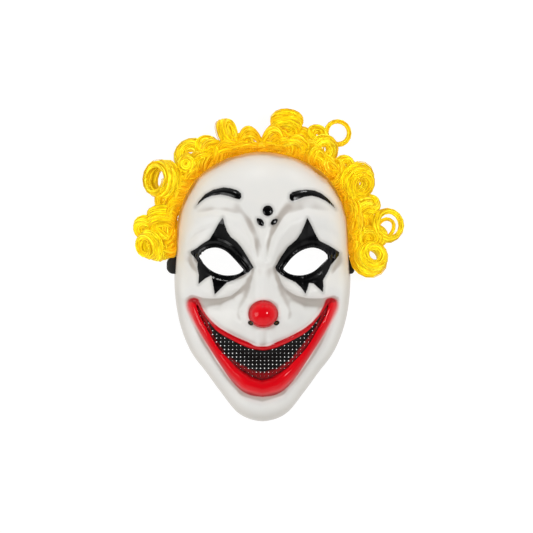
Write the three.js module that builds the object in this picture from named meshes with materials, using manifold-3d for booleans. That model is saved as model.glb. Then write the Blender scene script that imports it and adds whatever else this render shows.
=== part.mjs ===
// Clown mask: a formed plastic face with a pierced mouth net, curly synthetic hair and an elastic head strap.
// It lies face up on its rim. Millimetres, +Z up out of the face, +Y towards the forehead, +X to the viewer's right.
import * as THREE from "three";
import { mergeVertices } from "three/addons/utils/BufferGeometryUtils.js";
import Module from "manifold-3d";

const wasm = await Module();
wasm.setup();

// Driving sizes of the face shell
const maskWidth = 159;
const maskHeight = 244;
const crownHeight = 57; // rim plane to the crown of the face, without the nose
const skirtHeight = 7; // straight wall above the rim
const rimFlare = 0.7; // how far the wall leans out at the rim
const wall = 1.6;
const sideRoundness = 2.1; // exponent of the dome across the face
const endRoundness = 3.3; // exponent of the dome towards chin and forehead
const domeSharpness = 2.25;
const reliefScale = 1; // multiplies every rise in the tables of forms
const sheetSpokes = 40;
const sheetRows = 16;
const templeLevel = 19; // the strap's place on the face, from its middle

// Driving sizes of the features
const eyeHoleWidth = 40;
const eyeHoleHeight = 24;
const eyeSpacing = 74;
const eyeLevel = 21.5;
const eyeRimWidth = 3.4;
const eyeRimRise = 1.5;
const noseBallDiameter = 26;
const noseLevel = -24;
const noseBallCentreHeight = 68;
const nostrilDiameter = 3.8;
const nostrilSpacing = 22.6;
const nostrilDrop = 8.8; // below the nose ball's centre
const mouthWidth = 119;
const mouthHeight = 68;
const mouthTop = -15; // level of the mouth corners
const lowerLipWidth = 14.5;
const lowerLipRise = 6.4;
const upperLipWidth = 5;
const upperLipRise = 2.2;
const browLength = 44;
const browWidth = 7.6;
const browRise = 2.2;
const browLevel = 79;
const browOffset = 48.5;
const dotDiameter = 9;
const petalLength = 8.4;
const petalWidth = 5.4;
const dotRise = 1.5;
const dotLevel = 69;

// Driving sizes of the mouth net
const netThickness = 0.9;
const netGap = 0.6;
const netMargin = 4; // how far the net reaches behind the mouth's edge
const netPitch = 5.3;
const netHole = 1.9;
const netStrip = 3 * netPitch; // each flat strip that the net is bent in

// Driving sizes of the hair
const weftThickness = 2.4;
const weftBottom = 2;
const weftHeight = 12;
const hairGap = 0.4;
const hairReach = 40; // furthest curl centre from the face's outline
const hairLoft = 30; // highest curl centre above the rim plane
const curlRadius = 12;
const lockRadius = 4.4;
const lockSides = 5;
const hairLeftEnd = 167; // angles of the hairline's two ends
const hairRightEnd = 14;

// Driving sizes of the strap
const strapWidth = 16;
const strapThickness = 1.2;
const strapLength = 285; // from one sewn end to the other, laid straight
const strapGap = 0.4;
const slitHeight = 2;
const lowerSlitLevel = 5; // above the rim plane
const upperSlitLevel = 14;
const strapBulge = { left: 6.4, right: 3.6 }; // how far the strap stands out of the wall between its slits

const halfWidth = maskWidth / 2;
const halfHeight = maskHeight / 2;

// Outline of the face from the chin, at -90 degrees, to the forehead, at 90: reach is a share of the half sizes.
const outline = [
  { at: -90, reach: 1.0 },
  { at: -75, reach: 0.981 },
  { at: -60, reach: 0.916 },
  { at: -45, reach: 0.899 },
  { at: -30, reach: 0.944 },
  { at: -15, reach: 0.976 },
  { at: 0, reach: 0.995 },
  { at: 15, reach: 1.018 },
  { at: 30, reach: 1.091 },
  { at: 45, reach: 1.1 },
  { at: 60, reach: 1.05 },
  { at: 75, reach: 1.012 },
  { at: 90, reach: 1.0 },
];

// Broad forms of the face, on both surfaces of the sheet. Each row is a station of a fold that runs through its
// stations and is mirrored: x and y are shares of the half sizes, wide and rise are millimetres.
const forms = {
  brow_fold: [
    { x: 0.075, y: 0.2, wide: 7, rise: 4.5 },
    { x: 0.17, y: 0.345, wide: 9, rise: 6.5 },
    { x: 0.31, y: 0.45, wide: 10, rise: 7 },
    { x: 0.5, y: 0.5, wide: 10, rise: 6 },
    { x: 0.7, y: 0.46, wide: 10, rise: 4 },
    { x: 0.83, y: 0.36, wide: 9, rise: 1.5 },
  ],
  eye_socket: [
    { x: 0.3, y: 0.15, wide: 15, rise: -6 },
    { x: 0.5, y: 0.2, wide: 17, rise: -7 },
    { x: 0.68, y: 0.21, wide: 13, rise: -4.5 },
  ],
  cheek: [
    { x: 0.46, y: 0.0, wide: 16, rise: 5 },
    { x: 0.64, y: 0.0, wide: 17, rise: 8.5 },
    { x: 0.8, y: -0.01, wide: 12, rise: 6 },
  ],
  cheek_crease: [
    { x: 0.22, y: -0.02, wide: 5, rise: -1 },
    { x: 0.33, y: -0.085, wide: 5, rise: -3 },
    { x: 0.48, y: -0.115, wide: 5.5, rise: -4 },
    { x: 0.66, y: -0.115, wide: 6, rise: -4 },
    { x: 0.82, y: -0.085, wide: 5, rise: -2.5 },
  ],
  muzzle: [
    { x: 0.0, y: -0.33, wide: 26, rise: 4 },
    { x: 0.3, y: -0.25, wide: 20, rise: 4 },
  ],
  mouth_bowl: [
    { x: 0.0, y: -0.57, wide: 20, rise: -2.5 },
    { x: 0.4, y: -0.4, wide: 16, rise: -2.5 },
  ],
  nose_bridge: [
    { x: 0.0, y: 0.3, wide: 8, rise: 1.5 },
    { x: 0.0, y: 0.16, wide: 9.5, rise: 6.5 },
    { x: 0.0, y: 0.0, wide: 11, rise: 11.5 },
    { x: 0.0, y: -0.14, wide: 13.5, rise: 15.5 },
    { x: 0.0, y: -0.24, wide: 12, rise: 12.5 },
  ],
  nose_wing: [
    { x: 0.2, y: -0.215, wide: 8.5, rise: 7 },
    { x: 0.235, y: -0.255, wide: 7.5, rise: 6 },
  ],
  chin: [
    { x: 0.0, y: -0.89, wide: 20, rise: 4.5 },
    { x: 0.1, y: -0.88, wide: 18, rise: 4.5 },
  ],
  lip_crease: [
    { x: 0.0, y: -0.825, wide: 5, rise: -3 },
    { x: 0.22, y: -0.78, wide: 4.5, rise: -2 },
  ],
  jaw_band: [
    { x: 0.88, y: -0.2, wide: 7, rise: 2 },
    { x: 0.76, y: -0.44, wide: 7, rise: 4 },
    { x: 0.56, y: -0.66, wide: 8, rise: 4.5 },
    { x: 0.36, y: -0.85, wide: 8, rise: 3 },
  ],
  frown_line: [
    { x: 0.055, y: 0.21, wide: 2.6, rise: -2 },
    { x: 0.075, y: 0.33, wide: 3, rise: -2.6 },
    { x: 0.16, y: 0.47, wide: 4, rise: -2.2 },
    { x: 0.28, y: 0.58, wide: 4.5, rise: -1.4 },
  ],
};

// Outline of the eye hole on the viewer's right, as shares of its width and height about its centre.
const eyeOutline = [
  { x: -0.5, y: -0.28 },
  { x: -0.36, y: -0.03 },
  { x: -0.14, y: 0.29 },
  { x: 0.08, y: 0.47 },
  { x: 0.26, y: 0.46 },
  { x: 0.41, y: 0.32 },
  { x: 0.5, y: 0.13 },
  { x: 0.4, y: -0.12 },
  { x: 0.2, y: -0.38 },
  { x: -0.06, y: -0.5 },
  { x: -0.3, y: -0.46 },
];

// Right half of the mouth opening, from its middle to the corner: x is a share of half its width, y of its height
// below the corners.
const mouthUpperEdge = [
  { x: 0.0, y: 0.61 },
  { x: 0.21, y: 0.577 },
  { x: 0.445, y: 0.482 },
  { x: 0.672, y: 0.367 },
  { x: 0.857, y: 0.172 },
  { x: 1.0, y: -0.01 },
];
const mouthLowerEdge = [
  { x: 0.96, y: 0.14 },
  { x: 0.815, y: 0.36 },
  { x: 0.655, y: 0.588 },
  { x: 0.42, y: 0.8 },
  { x: 0.235, y: 0.918 },
  { x: 0.0, y: 1.0 },
];

// Middle lines of the lips, from the centre to the corner: x and y are shares of the half sizes, wide of the lip's
// full width and rise of its full rise.
const lowerLip = [
  { x: 0.0, y: -0.742, wide: 1.0, rise: 1.0 },
  { x: 0.17, y: -0.715, wide: 1.0, rise: 1.0 },
  { x: 0.335, y: -0.625, wide: 0.86, rise: 0.9 },
  { x: 0.475, y: -0.51, wide: 0.74, rise: 0.8 },
  { x: 0.61, y: -0.375, wide: 0.64, rise: 0.7 },
  { x: 0.73, y: -0.245, wide: 0.6, rise: 0.6 },
  { x: 0.795, y: -0.135, wide: 0.5, rise: 0.35 },
];
const upperLip = [
  { x: 0.0, y: -0.447, wide: 0.8, rise: 1.0 },
  { x: 0.15, y: -0.424, wide: 1.0, rise: 1.0 },
  { x: 0.33, y: -0.377, wide: 1.1, rise: 1.0 },
  { x: 0.505, y: -0.308, wide: 1.0, rise: 0.9 },
  { x: 0.645, y: -0.205, wide: 0.9, rise: 0.8 },
  { x: 0.725, y: -0.115, wide: 0.7, rise: 0.5 },
];

// Middle line of a brow from its blunt inner end to the tip: along and across are shares of browLength.
const brow = [
  { along: -0.46, across: -0.045, wide: 0.85 },
  { along: -0.28, across: 0.06, wide: 1.0 },
  { along: -0.04, across: 0.1, wide: 0.95 },
  { along: 0.2, across: 0.03, wide: 0.75 },
  { along: 0.4, across: -0.13, wide: 0.42 },
  { along: 0.52, across: -0.27, wide: 0.12 },
];

// Ringlets: at is the angle on the outline, out a share of hairReach, up of hairLoft, coil of curlRadius, long the
// coil's length and thick the lock's own radius, both shares of lockRadius. lean tilts the coil's axis from upright
// towards swing. root is the angle at which the lock leaves the weft.
const ringlets = [
  { at: 163, out: 0.62, up: 0.42, coil: 0.8, long: 3.0, thick: 0.9, lean: 62, swing: 190, root: 158 },
  { at: 154, out: 0.37, up: 0.52, coil: 0.85, long: 3.4, thick: 0.9, lean: 80, swing: 265, root: 150 },
  { at: 157, out: 0.7, up: 0.3, coil: 0.78, long: 1.8, thick: 0.85, lean: 35, swing: 235, root: 152 },
  { at: 141, out: 0.7, up: 0.48, coil: 1.12, long: 2.4, thick: 0.9, lean: 38, swing: 180, root: 143 },
  { at: 131.5, out: 0.38, up: 0.9, coil: 0.52, long: 1.6, thick: 1.0, lean: 12, swing: 200, root: 134 },
  { at: 128, out: 0.47, up: 0.42, coil: 1.15, long: 1.8, thick: 1.0, lean: 20, swing: 120, root: 122 },
  { at: 120, out: 0.46, up: 0.5, coil: 0.72, long: 2.0, thick: 0.95, lean: 30, swing: 100, root: 115 },
  { at: 108.5, out: 0.49, up: 0.58, coil: 0.86, long: 1.5, thick: 0.8, lean: 78, swing: 10, root: 105 },
  { at: 78, out: 0.36, up: 0.3, coil: 1.05, long: 1.8, thick: 1.0, lean: 15, swing: 90, root: 88 },
  { at: 77.5, out: 0.78, up: 0.48, coil: 0.68, long: 3.0, thick: 0.9, lean: 78, swing: 8, root: 74 },
  { at: 63, out: 0.66, up: 0.3, coil: 0.66, long: 1.8, thick: 0.9, lean: 20, swing: 60, root: 66 },
  { at: 55.5, out: 0.95, up: 0.22, coil: 0.9, long: 0.5, thick: 0.5, lean: 14, swing: 30, root: 52 },
  { at: 57, out: 0.42, up: 0.6, coil: 1.05, long: 1.8, thick: 1.0, lean: 22, swing: 330, root: 62 },
  { at: 38.5, out: 0.54, up: 0.55, coil: 1.1, long: 3.2, thick: 0.95, lean: 62, swing: 285, root: 44 },
  { at: 30, out: 0.4, up: 0.52, coil: 0.72, long: 2.4, thick: 0.95, lean: 60, swing: 300, root: 34 },
  { at: 24, out: 0.9, up: 0.3, coil: 0.98, long: 1.0, thick: 0.62, lean: 18, swing: 20, root: 28 },
  { at: 12, out: 0.45, up: 0.42, coil: 1.05, long: 2.6, thick: 1.0, lean: 28, swing: 40, root: 17 },
];

// Waves: locks that leave the weft at one angle and come back to it at another.
const waves = [
  { from: 99, to: 132, out: 0.14, up: 0.62, thick: 0.9 },
  { from: 128, to: 165, out: 0.16, up: 0.55, thick: 1.0 },
  { from: 89, to: 54, out: 0.22, up: 0.6, thick: 1.05 },
  { from: 56, to: 15, out: 0.16, up: 0.55, thick: 1.0 },
];

// Solids and meshes

function solidFrom(geometry) {
  const bare = new THREE.BufferGeometry();
  bare.setAttribute("position", geometry.getAttribute("position"));
  bare.setIndex(geometry.index);
  const merged = mergeVertices(bare, 1e-3);
  const mesh = new wasm.Mesh({
    numProp: 3,
    vertProperties: merged.getAttribute("position").array,
    triVerts: new Uint32Array(merged.index.array),
  });
  const solid = new wasm.Manifold(mesh);
  return solid;
}

function geometryFrom(solid) {
  const mesh = solid.getMesh();
  const positions = new Float32Array(mesh.numVert * 3);
  for (let i = 0; i < mesh.numVert; i += 1) {
    positions.set(mesh.vertProperties.subarray(i * mesh.numProp, i * mesh.numProp + 3), i * 3);
  }
  const geometry = new THREE.BufferGeometry();
  geometry.setAttribute("position", new THREE.BufferAttribute(positions, 3));
  geometry.setIndex(new THREE.BufferAttribute(mesh.triVerts, 1));
  geometry.computeVertexNormals();
  return geometry;
}

function solidFromPoints(points, faces) {
  const geometry = new THREE.BufferGeometry();
  geometry.setAttribute("position", new THREE.Float32BufferAttribute(points.flatMap((p) => [p.x, p.y, p.z]), 3));
  geometry.setIndex(faces);
  return solidFrom(geometry);
}

// A solid skinned over rings of points, each ring counter-clockwise about the way that they advance. Its ends are
// capped, or joined to each other where it is closed.
function loft(rings, closed = false) {
  const sides = rings[0].length;
  const faces = [];
  const steps = closed ? rings.length : rings.length - 1;
  for (let i = 0; i < steps; i += 1) {
    const here = i * sides;
    const there = ((i + 1) % rings.length) * sides;
    for (let j = 0; j < sides; j += 1) {
      const k = (j + 1) % sides;
      faces.push(here + j, here + k, there + k, here + j, there + k, there + j);
    }
  }
  const last = (rings.length - 1) * sides;
  for (let j = 1; j + 1 < sides && !closed; j += 1) {
    faces.push(0, j + 1, j);
    faces.push(last, last + j, last + j + 1);
  }
  return solidFromPoints(rings.flat(), faces);
}

// Leaves out sealed pockets and slivers thinner than the sheet.
function withoutPockets(solid) {
  const bodies = solid.decompose().filter((body) => body.volume() > wall ** 3);
  return bodies.reduce((whole, body) => whole.add(body));
}

// An upright prism with the given outline in the XY plane.
function prism(points, bottom, top) {
  const shape = new THREE.Shape(points.map((p) => new THREE.Vector2(p.x, p.y)));
  const geometry = new THREE.ExtrudeGeometry(shape, { depth: top - bottom, bevelEnabled: false });
  geometry.translate(0, 0, bottom);
  return solidFrom(geometry);
}

function box(low, high) {
  const size = high.clone().sub(low);
  const geometry = new THREE.BoxGeometry(size.x, size.y, size.z);
  const centre = low.clone().add(high).multiplyScalar(0.5);
  geometry.translate(centre.x, centre.y, centre.z);
  return solidFrom(geometry);
}

// A smooth closed curve through points, as evenly spaced points.
function closedCurve(points, count) {
  const curve = new THREE.CatmullRomCurve3(points, true, "centripetal");
  return curve.getSpacedPoints(count).slice(0, count);
}

// A piecewise smooth value from a list of numbers, by Catmull-Rom; at counts in list steps.
function smoothValue(values, at) {
  const last = values.length - 1;
  const i = Math.min(Math.max(Math.floor(at), 0), last - 1);
  const t = at - i;
  const a = values[Math.max(i - 1, 0)];
  const b = values[i];
  const c = values[i + 1];
  const d = values[Math.min(i + 2, last)];
  const bend = (2 * a - 5 * b + 4 * c - d) * t * t + (3 * b - a - 3 * c + d) * t * t * t;
  return 0.5 * (2 * b + (c - a) * t + bend);
}

// The face's outline and height

function outlineReach(angle) {
  const folded = THREE.MathUtils.radToDeg(Math.asin(THREE.MathUtils.clamp(Math.sin(angle), -1, 1)));
  const step = outline[1].at - outline[0].at;
  return smoothValue(outline.map((row) => row.reach), (folded - outline[0].at) / step);
}

function outlinePoint(degrees) {
  const angle = THREE.MathUtils.degToRad(degrees);
  const reach = outlineReach(angle);
  return new THREE.Vector3(halfWidth * reach * Math.cos(angle), halfHeight * reach * Math.sin(angle), 0);
}

function outlineNormal(degrees) {
  const along = outlinePoint(degrees + 1).sub(outlinePoint(degrees - 1));
  return new THREE.Vector3(along.y, -along.x, 0).normalize();
}

// Share of the way from the face's middle to its outline.
function shareOut(x, y) {
  const u = x / halfWidth;
  const v = y / halfHeight;
  return Math.hypot(u, v) / outlineReach(Math.atan2(v, u));
}

function foldRise(stations, x, y) {
  let best = 0;
  const across = Math.abs(x);
  for (let i = 0; i + 1 < stations.length; i += 1) {
    const a = stations[i];
    const b = stations[i + 1];
    const ax = a.x * halfWidth;
    const ay = a.y * halfHeight;
    const dx = b.x * halfWidth - ax;
    const dy = b.y * halfHeight - ay;
    const t = THREE.MathUtils.clamp(((across - ax) * dx + (y - ay) * dy) / (dx * dx + dy * dy), 0, 1);
    const distance = Math.hypot(across - ax - dx * t, y - ay - dy * t);
    const wide = THREE.MathUtils.lerp(a.wide, b.wide, t);
    const rise = THREE.MathUtils.lerp(a.rise, b.rise, t) * Math.exp(-((distance / wide) ** 2));
    if (Math.abs(rise) > Math.abs(best)) best = rise;
  }
  return best * reliefScale;
}

// Height of the outside of the formed sheet.
function faceHeight(x, y) {
  const share = Math.min(shareOut(x, y), 1);
  const upright = Math.sin(Math.atan2(y / halfHeight, x / halfWidth)) ** 2;
  const power = THREE.MathUtils.lerp(sideRoundness, endRoundness, upright);
  const dome = (1 - share ** power) ** (1 / domeSharpness);
  const fade = THREE.MathUtils.smoothstep(1 - share, 0, 0.12);
  let relief = 0;
  for (const stations of Object.values(forms)) relief += foldRise(stations, x, y);
  return skirtHeight + (crownHeight - skirtHeight) * dome + relief * fade;
}

// Points of the formed sheet on spokes from the nose to the outline, then the two ends of the straight wall.
function sheetRings(base) {
  const hub = new THREE.Vector2(0, noseLevel);
  const rings = [[new THREE.Vector3(hub.x, hub.y, faceHeight(hub.x, hub.y))]];
  for (let j = 1; j <= sheetRows; j += 1) {
    const even = j / sheetRows;
    const share = j === sheetRows ? 1 : 0.5 * even + 0.5 * Math.sin((even * Math.PI) / 2);
    const ring = [];
    for (let k = 0; k < sheetSpokes; k += 1) {
      const end = outlinePoint((k * 360) / sheetSpokes);
      const x = THREE.MathUtils.lerp(hub.x, end.x, share);
      const y = THREE.MathUtils.lerp(hub.y, end.y, share);
      ring.push(new THREE.Vector3(x, y, j === sheetRows ? skirtHeight : faceHeight(x, y)));
    }
    rings.push(ring);
  }
  const foot = [];
  for (let k = 0; k < sheetSpokes; k += 1) {
    const degrees = (k * 360) / sheetSpokes;
    const lean = rimFlare * (1 - base / skirtHeight);
    foot.push(outlinePoint(degrees).addScaledVector(outlineNormal(degrees), lean).setZ(base));
  }
  rings.push(foot);
  return rings;
}

// The solid under the face, from a base plane up to the sheet, moved out by grow along the sheet's own normals.
function faceBlock(grow, base) {
  const rings = sheetRings(base);
  const points = rings.flat();
  const faces = [];
  for (let k = 0; k < sheetSpokes; k += 1) {
    const next = (k + 1) % sheetSpokes;
    faces.push(0, 1 + k, 1 + next);
    for (let j = 0; j < sheetRows; j += 1) {
      const a = 1 + j * sheetSpokes;
      const b = a + sheetSpokes;
      faces.push(a + k, b + k, b + next, a + k, b + next, a + next);
    }
  }
  const sheet = new THREE.BufferGeometry();
  sheet.setAttribute("position", new THREE.Float32BufferAttribute(points.flatMap((p) => [p.x, p.y, p.z]), 3));
  sheet.setIndex(faces);
  sheet.computeVertexNormals();
  const normals = sheet.getAttribute("normal");
  const edge = 1 + (sheetRows - 1) * sheetSpokes;
  points.forEach((point, i) => {
    const normal = new THREE.Vector3().fromBufferAttribute(normals, i);
    if (i >= edge) normal.copy(outlineNormal((((i - edge) % sheetSpokes) * 360) / sheetSpokes));
    point.addScaledVector(normal, grow);
  });
  const foot = 1 + sheetRows * sheetSpokes;
  for (let k = 0; k < sheetSpokes; k += 1) faces.push(foot + k, points.length, foot + ((k + 1) % sheetSpokes));
  points.push(new THREE.Vector3(0, noseLevel, base));
  return solidFromPoints(points, faces);
}

// A rounded roll that lies along stations {x, y, wide, rise} on the face, or sunk below it.
function surfaceRoll(stations, sides, { closed = false, sunk = 0 } = {}) {
  const last = stations.length - 1;
  const rings = stations.map((station, i) => {
    const before = stations[closed ? (i + last) % stations.length : Math.max(i - 1, 0)];
    const after = stations[closed ? (i + 1) % stations.length : Math.min(i + 1, last)];
    const along = new THREE.Vector2(after.x - before.x, after.y - before.y).normalize();
    const ring = [];
    for (let j = 0; j < sides; j += 1) {
      const turn = ((j + 0.5) / sides) * 2 * Math.PI;
      const across = (Math.cos(turn) / Math.cos(Math.PI / sides)) * (station.wide / 2);
      const x = station.x - along.y * across;
      const y = station.y + along.x * across;
      ring.push(new THREE.Vector3(x, y, faceHeight(x, y) - sunk + Math.sin(turn) * station.rise));
    }
    return ring;
  });
  return loft(rings, closed);
}

// Adds mirrored stations so that a half table runs from the left corner to the right one.
function wholeLip(half, width, rise) {
  const right = half.map((row) => ({
    x: row.x * halfWidth,
    y: row.y * halfHeight,
    wide: row.wide * width,
    rise: row.rise * rise,
  }));
  const left = right.slice(1).map((row) => ({ ...row, x: -row.x }));
  return [...left.reverse(), ...right];
}

// Features of the face

function eyeHolePoints(side, grow = 0) {
  const points = eyeOutline.map(
    (row) =>
      new THREE.Vector3(
        side * (eyeSpacing / 2 + row.x * (eyeHoleWidth + 2 * grow)),
        eyeLevel + row.y * (eyeHoleHeight + 2 * grow),
        0,
      ),
  );
  return closedCurve(side > 0 ? points : points.reverse(), 20);
}

function eyeRim(side) {
  const middle = eyeHolePoints(side, eyeRimWidth / 2 - 0.6);
  const stations = middle.map((p) => ({ x: p.x, y: p.y, wide: eyeRimWidth, rise: eyeRimRise }));
  return surfaceRoll(stations, 4, { closed: true });
}

function mouthPoints(grow = 0) {
  const place = (row) => new THREE.Vector2((row.x * mouthWidth) / 2, mouthTop - row.y * mouthHeight);
  const upper = mouthUpperEdge.map(place);
  const lower = mouthLowerEdge.map(place);
  const right = [...upper, ...lower];
  const loop = [...right, ...right.slice(1, -1).reverse().map((p) => new THREE.Vector2(-p.x, p.y))];
  if (grow === 0) return loop;
  return loop.map((p, i) => {
    const before = loop[(i + loop.length - 1) % loop.length];
    const after = loop[(i + 1) % loop.length];
    const into = p.clone().sub(before).normalize();
    const away = after.clone().sub(p).normalize();
    const along = into.add(away).normalize();
    return new THREE.Vector2(p.x + along.y * -grow, p.y + along.x * grow);
  });
}

function browRoll(side) {
  const slope = Math.sin(THREE.MathUtils.degToRad(4));
  const stations = brow.map((row) => ({
    x: side * (browOffset + row.along * browLength),
    y: browLevel + (row.across - row.along * slope) * browLength,
    wide: row.wide * browWidth,
    rise: browRise * Math.sqrt(row.wide),
  }));
  return surfaceRoll(stations, 6);
}

// A low round button on the face, longer one way where it is a petal.
function button(x, y, long, wide, turn) {
  const geometry = new THREE.SphereGeometry(1, 8, 6);
  geometry.scale(long / 2, wide / 2, dotRise);
  geometry.rotateZ(turn);
  geometry.translate(x, y, faceHeight(x, y));
  return solidFrom(geometry);
}

function foreheadDots() {
  const petalTilt = THREE.MathUtils.degToRad(52);
  const petalDrop = dotDiameter + 1.2;
  const petalSpread = dotDiameter * 0.68;
  return [
    button(0, dotLevel, dotDiameter, dotDiameter, 0),
    button(-petalSpread, dotLevel - petalDrop, petalLength, petalWidth, -petalTilt),
    button(petalSpread, dotLevel - petalDrop, petalLength, petalWidth, petalTilt),
  ];
}

function noseBall(diameter, detail) {
  const geometry = new THREE.SphereGeometry(diameter / 2, detail, detail - 2);
  geometry.rotateX(Math.PI / 2);
  geometry.translate(0, noseLevel, noseBallCentreHeight);
  return solidFrom(geometry);
}

// The slots in the side walls that the strap is threaded through.
function slits() {
  const outer = halfWidth * 1.3;
  const inner = halfWidth * 0.85;
  const half = strapWidth / 2 + 1;
  return [lowerSlitLevel, upperSlitLevel].flatMap((level) =>
    [-1, 1].map((side) => {
      const ends = [side * inner, side * outer].sort((a, b) => a - b);
      const low = new THREE.Vector3(ends[0], templeLevel - half, level - slitHeight / 2);
      const high = new THREE.Vector3(ends[1], templeLevel + half, level + slitHeight / 2);
      return box(low, high);
    }),
  );
}

function faceShell() {
  const above = crownHeight + 2 * noseBallDiameter;
  let shell = faceBlock(0, 0);
  const lip = wholeLip(lowerLip, lowerLipWidth, lowerLipRise);
  const raised = [
    surfaceRoll(lip, 6),
    surfaceRoll(wholeLip(upperLip, upperLipWidth, upperLipRise), 6),
    noseBall(noseBallDiameter, 12),
    ...foreheadDots(),
  ];
  for (const side of [-1, 1]) raised.push(eyeRim(side), browRoll(side));
  for (const form of raised) shell = shell.add(form);
  shell = shell.subtract(faceBlock(-wall, -1));
  shell = shell.subtract(noseBall(noseBallDiameter - 2 * wall, 10));
  const hollow = lip.map((row) => ({ ...row, wide: row.wide - 2.6 * wall, rise: row.rise }));
  shell = shell.subtract(surfaceRoll(hollow.slice(1, -1), 4, { sunk: 1.4 * wall }));
  shell = shell.subtract(prism(mouthPoints(), 0, above));
  for (const side of [-1, 1]) {
    shell = shell.subtract(prism(eyeHolePoints(side), 0, above));
    const nostril = new THREE.CylinderGeometry(nostrilDiameter / 2, nostrilDiameter / 2, above, 8);
    nostril.rotateX(Math.PI / 2);
    nostril.translate((side * nostrilSpacing) / 2, noseLevel - nostrilDrop, above / 2 + skirtHeight);
    shell = shell.subtract(solidFrom(nostril));
  }
  for (const cut of slits()) shell = shell.subtract(cut);
  return withoutPockets(shell);
}

// The mouth net: a sheet bent in flat strips that lies just behind the face, pierced by square holes.
function mouthNet() {
  const edge = mouthPoints(netMargin);
  const reach = (Math.ceil((mouthWidth / 2 + netMargin) / netStrip) + 0.5) * netStrip;
  const slope = netSlope();
  const lines = [];
  for (let x = -reach; x <= reach + 0.01; x += netStrip) lines.push({ x, z: netLevel(x, slope) });
  const low = mouthTop - mouthHeight - 2 * netMargin;
  const high = mouthTop + 2 * netMargin;
  const at = (line, y, drop) => new THREE.Vector3(line.x, y, line.z + slope * (y - mouthTop) - drop);
  const rings = lines.map((line) => [
    at(line, low, netThickness),
    at(line, high, netThickness),
    at(line, high, 0),
    at(line, low, 0),
  ]);
  let net = loft(rings).intersect(prism(edge, 0, crownHeight + noseBallDiameter));
  const inside = mouthPoints(-netHole);
  const holes = [];
  for (let row = 0; row * netPitch < mouthHeight; row += 1) {
    for (let column = -12; column <= 12; column += 1) {
      const x = (column + 0.5) * netPitch;
      const y = mouthTop - mouthHeight + (row + 0.6) * netPitch;
      if (contains(inside, x, y)) holes.push({ x, y });
    }
  }
  for (const hole of holes) {
    const half = netHole / 2;
    net = net.subtract(
      box(
        new THREE.Vector3(hole.x - half, hole.y - half, skirtHeight),
        new THREE.Vector3(hole.x + half, hole.y + half, crownHeight + noseBallDiameter),
      ),
    );
  }
  return net;
}

// Fall of the net towards the chin, from the face over the two ends of the mouth's middle.
function netSlope() {
  const top = faceHeight(0, mouthTop - 0.55 * mouthHeight);
  const bottom = faceHeight(0, mouthTop - mouthHeight - netMargin);
  return (top - bottom) / (0.45 * mouthHeight + netMargin);
}

// Highest level at which the net clears the inside of the face all along a line across it.
function netLevel(x, slope) {
  const reach = mouthWidth / 2 + netMargin;
  const within = THREE.MathUtils.clamp(x, -reach, reach);
  const near = mouthPoints(netMargin + 2);
  let level = crownHeight;
  for (let y = mouthTop - mouthHeight - netMargin; y <= mouthTop + netMargin; y += 2) {
    if (!contains(near, within * 0.97, y)) continue;
    level = Math.min(level, faceHeight(within, y) - slope * (y - mouthTop));
  }
  return level - 1.3 * wall - netGap;
}

function contains(loop, x, y) {
  let inside = false;
  loop.forEach((a, i) => {
    const b = loop[(i + 1) % loop.length];
    if (a.y > y !== b.y > y && x < ((b.x - a.x) * (y - a.y)) / (b.y - a.y) + a.x) inside = !inside;
  });
  return inside;
}

// Hair

function besideOutline(degrees, out, height) {
  return outlinePoint(degrees).addScaledVector(outlineNormal(degrees), out).setZ(height);
}

// A tube of elliptical section along stations {at, wide, long, axis}: wide is its radius across, long along the axis.
function lockTube(stations, sides, closed = false) {
  const last = stations.length - 1;
  const rings = stations.map((station, i) => {
    const before = stations[closed ? (i + last) % stations.length : Math.max(i - 1, 0)].at;
    const after = stations[closed ? (i + 1) % stations.length : Math.min(i + 1, last)].at;
    const along = after.clone().sub(before).normalize();
    const across = new THREE.Vector3().crossVectors(station.axis, along).normalize();
    const up = new THREE.Vector3().crossVectors(along, across);
    const ring = [];
    for (let j = 0; j < sides; j += 1) {
      const turn = ((j + 0.5) / sides) * 2 * Math.PI;
      const offset = across.clone().multiplyScalar(Math.cos(turn) * station.wide);
      ring.push(station.at.clone().add(offset.addScaledVector(up, Math.sin(turn) * station.long)));
    }
    return ring;
  });
  return loft(rings, closed);
}

// One ringlet: a ring or barrel of hair about its own axis, and the lock that joins it to the weft.
function ringlet(row) {
  const lean = THREE.MathUtils.degToRad(row.lean);
  const swing = THREE.MathUtils.degToRad(row.swing);
  const axis = new THREE.Vector3(Math.sin(lean) * Math.cos(swing), Math.sin(lean) * Math.sin(swing), Math.cos(lean));
  const radius = row.coil * curlRadius;
  const thick = row.thick * lockRadius;
  const long = row.long * lockRadius;
  const below = (radius + thick) * Math.sin(lean) + long * Math.cos(lean);
  const centre = besideOutline(row.at, row.out * hairReach, Math.max(row.up * hairLoft, below + hairGap));
  const root = besideOutline(row.root, hairGap + weftThickness, weftBottom + weftHeight / 2);
  const start = root.clone().sub(centre);
  start.addScaledVector(axis, -start.dot(axis)).normalize();
  const side = new THREE.Vector3().crossVectors(axis, start);
  const coil = [];
  const steps = 8;
  for (let i = 0; i < steps; i += 1) {
    const turn = (i / steps) * 2 * Math.PI;
    const at = centre.clone();
    at.addScaledVector(start, Math.cos(turn) * radius).addScaledVector(side, Math.sin(turn) * radius);
    coil.push({ at, wide: thick, long, axis });
  }
  const end = centre.clone().addScaledVector(start, radius);
  const upright = new THREE.Vector3(0, 0, 1);
  const stem = [
    { at: root, wide: 0.7 * thick, long: 0.7 * thick, axis: upright },
    { at: end, wide: 0.9 * thick, long: 0.9 * thick, axis: upright },
  ];
  return lockTube(coil, lockSides, true).add(lockTube(stem, lockSides));
}

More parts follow.
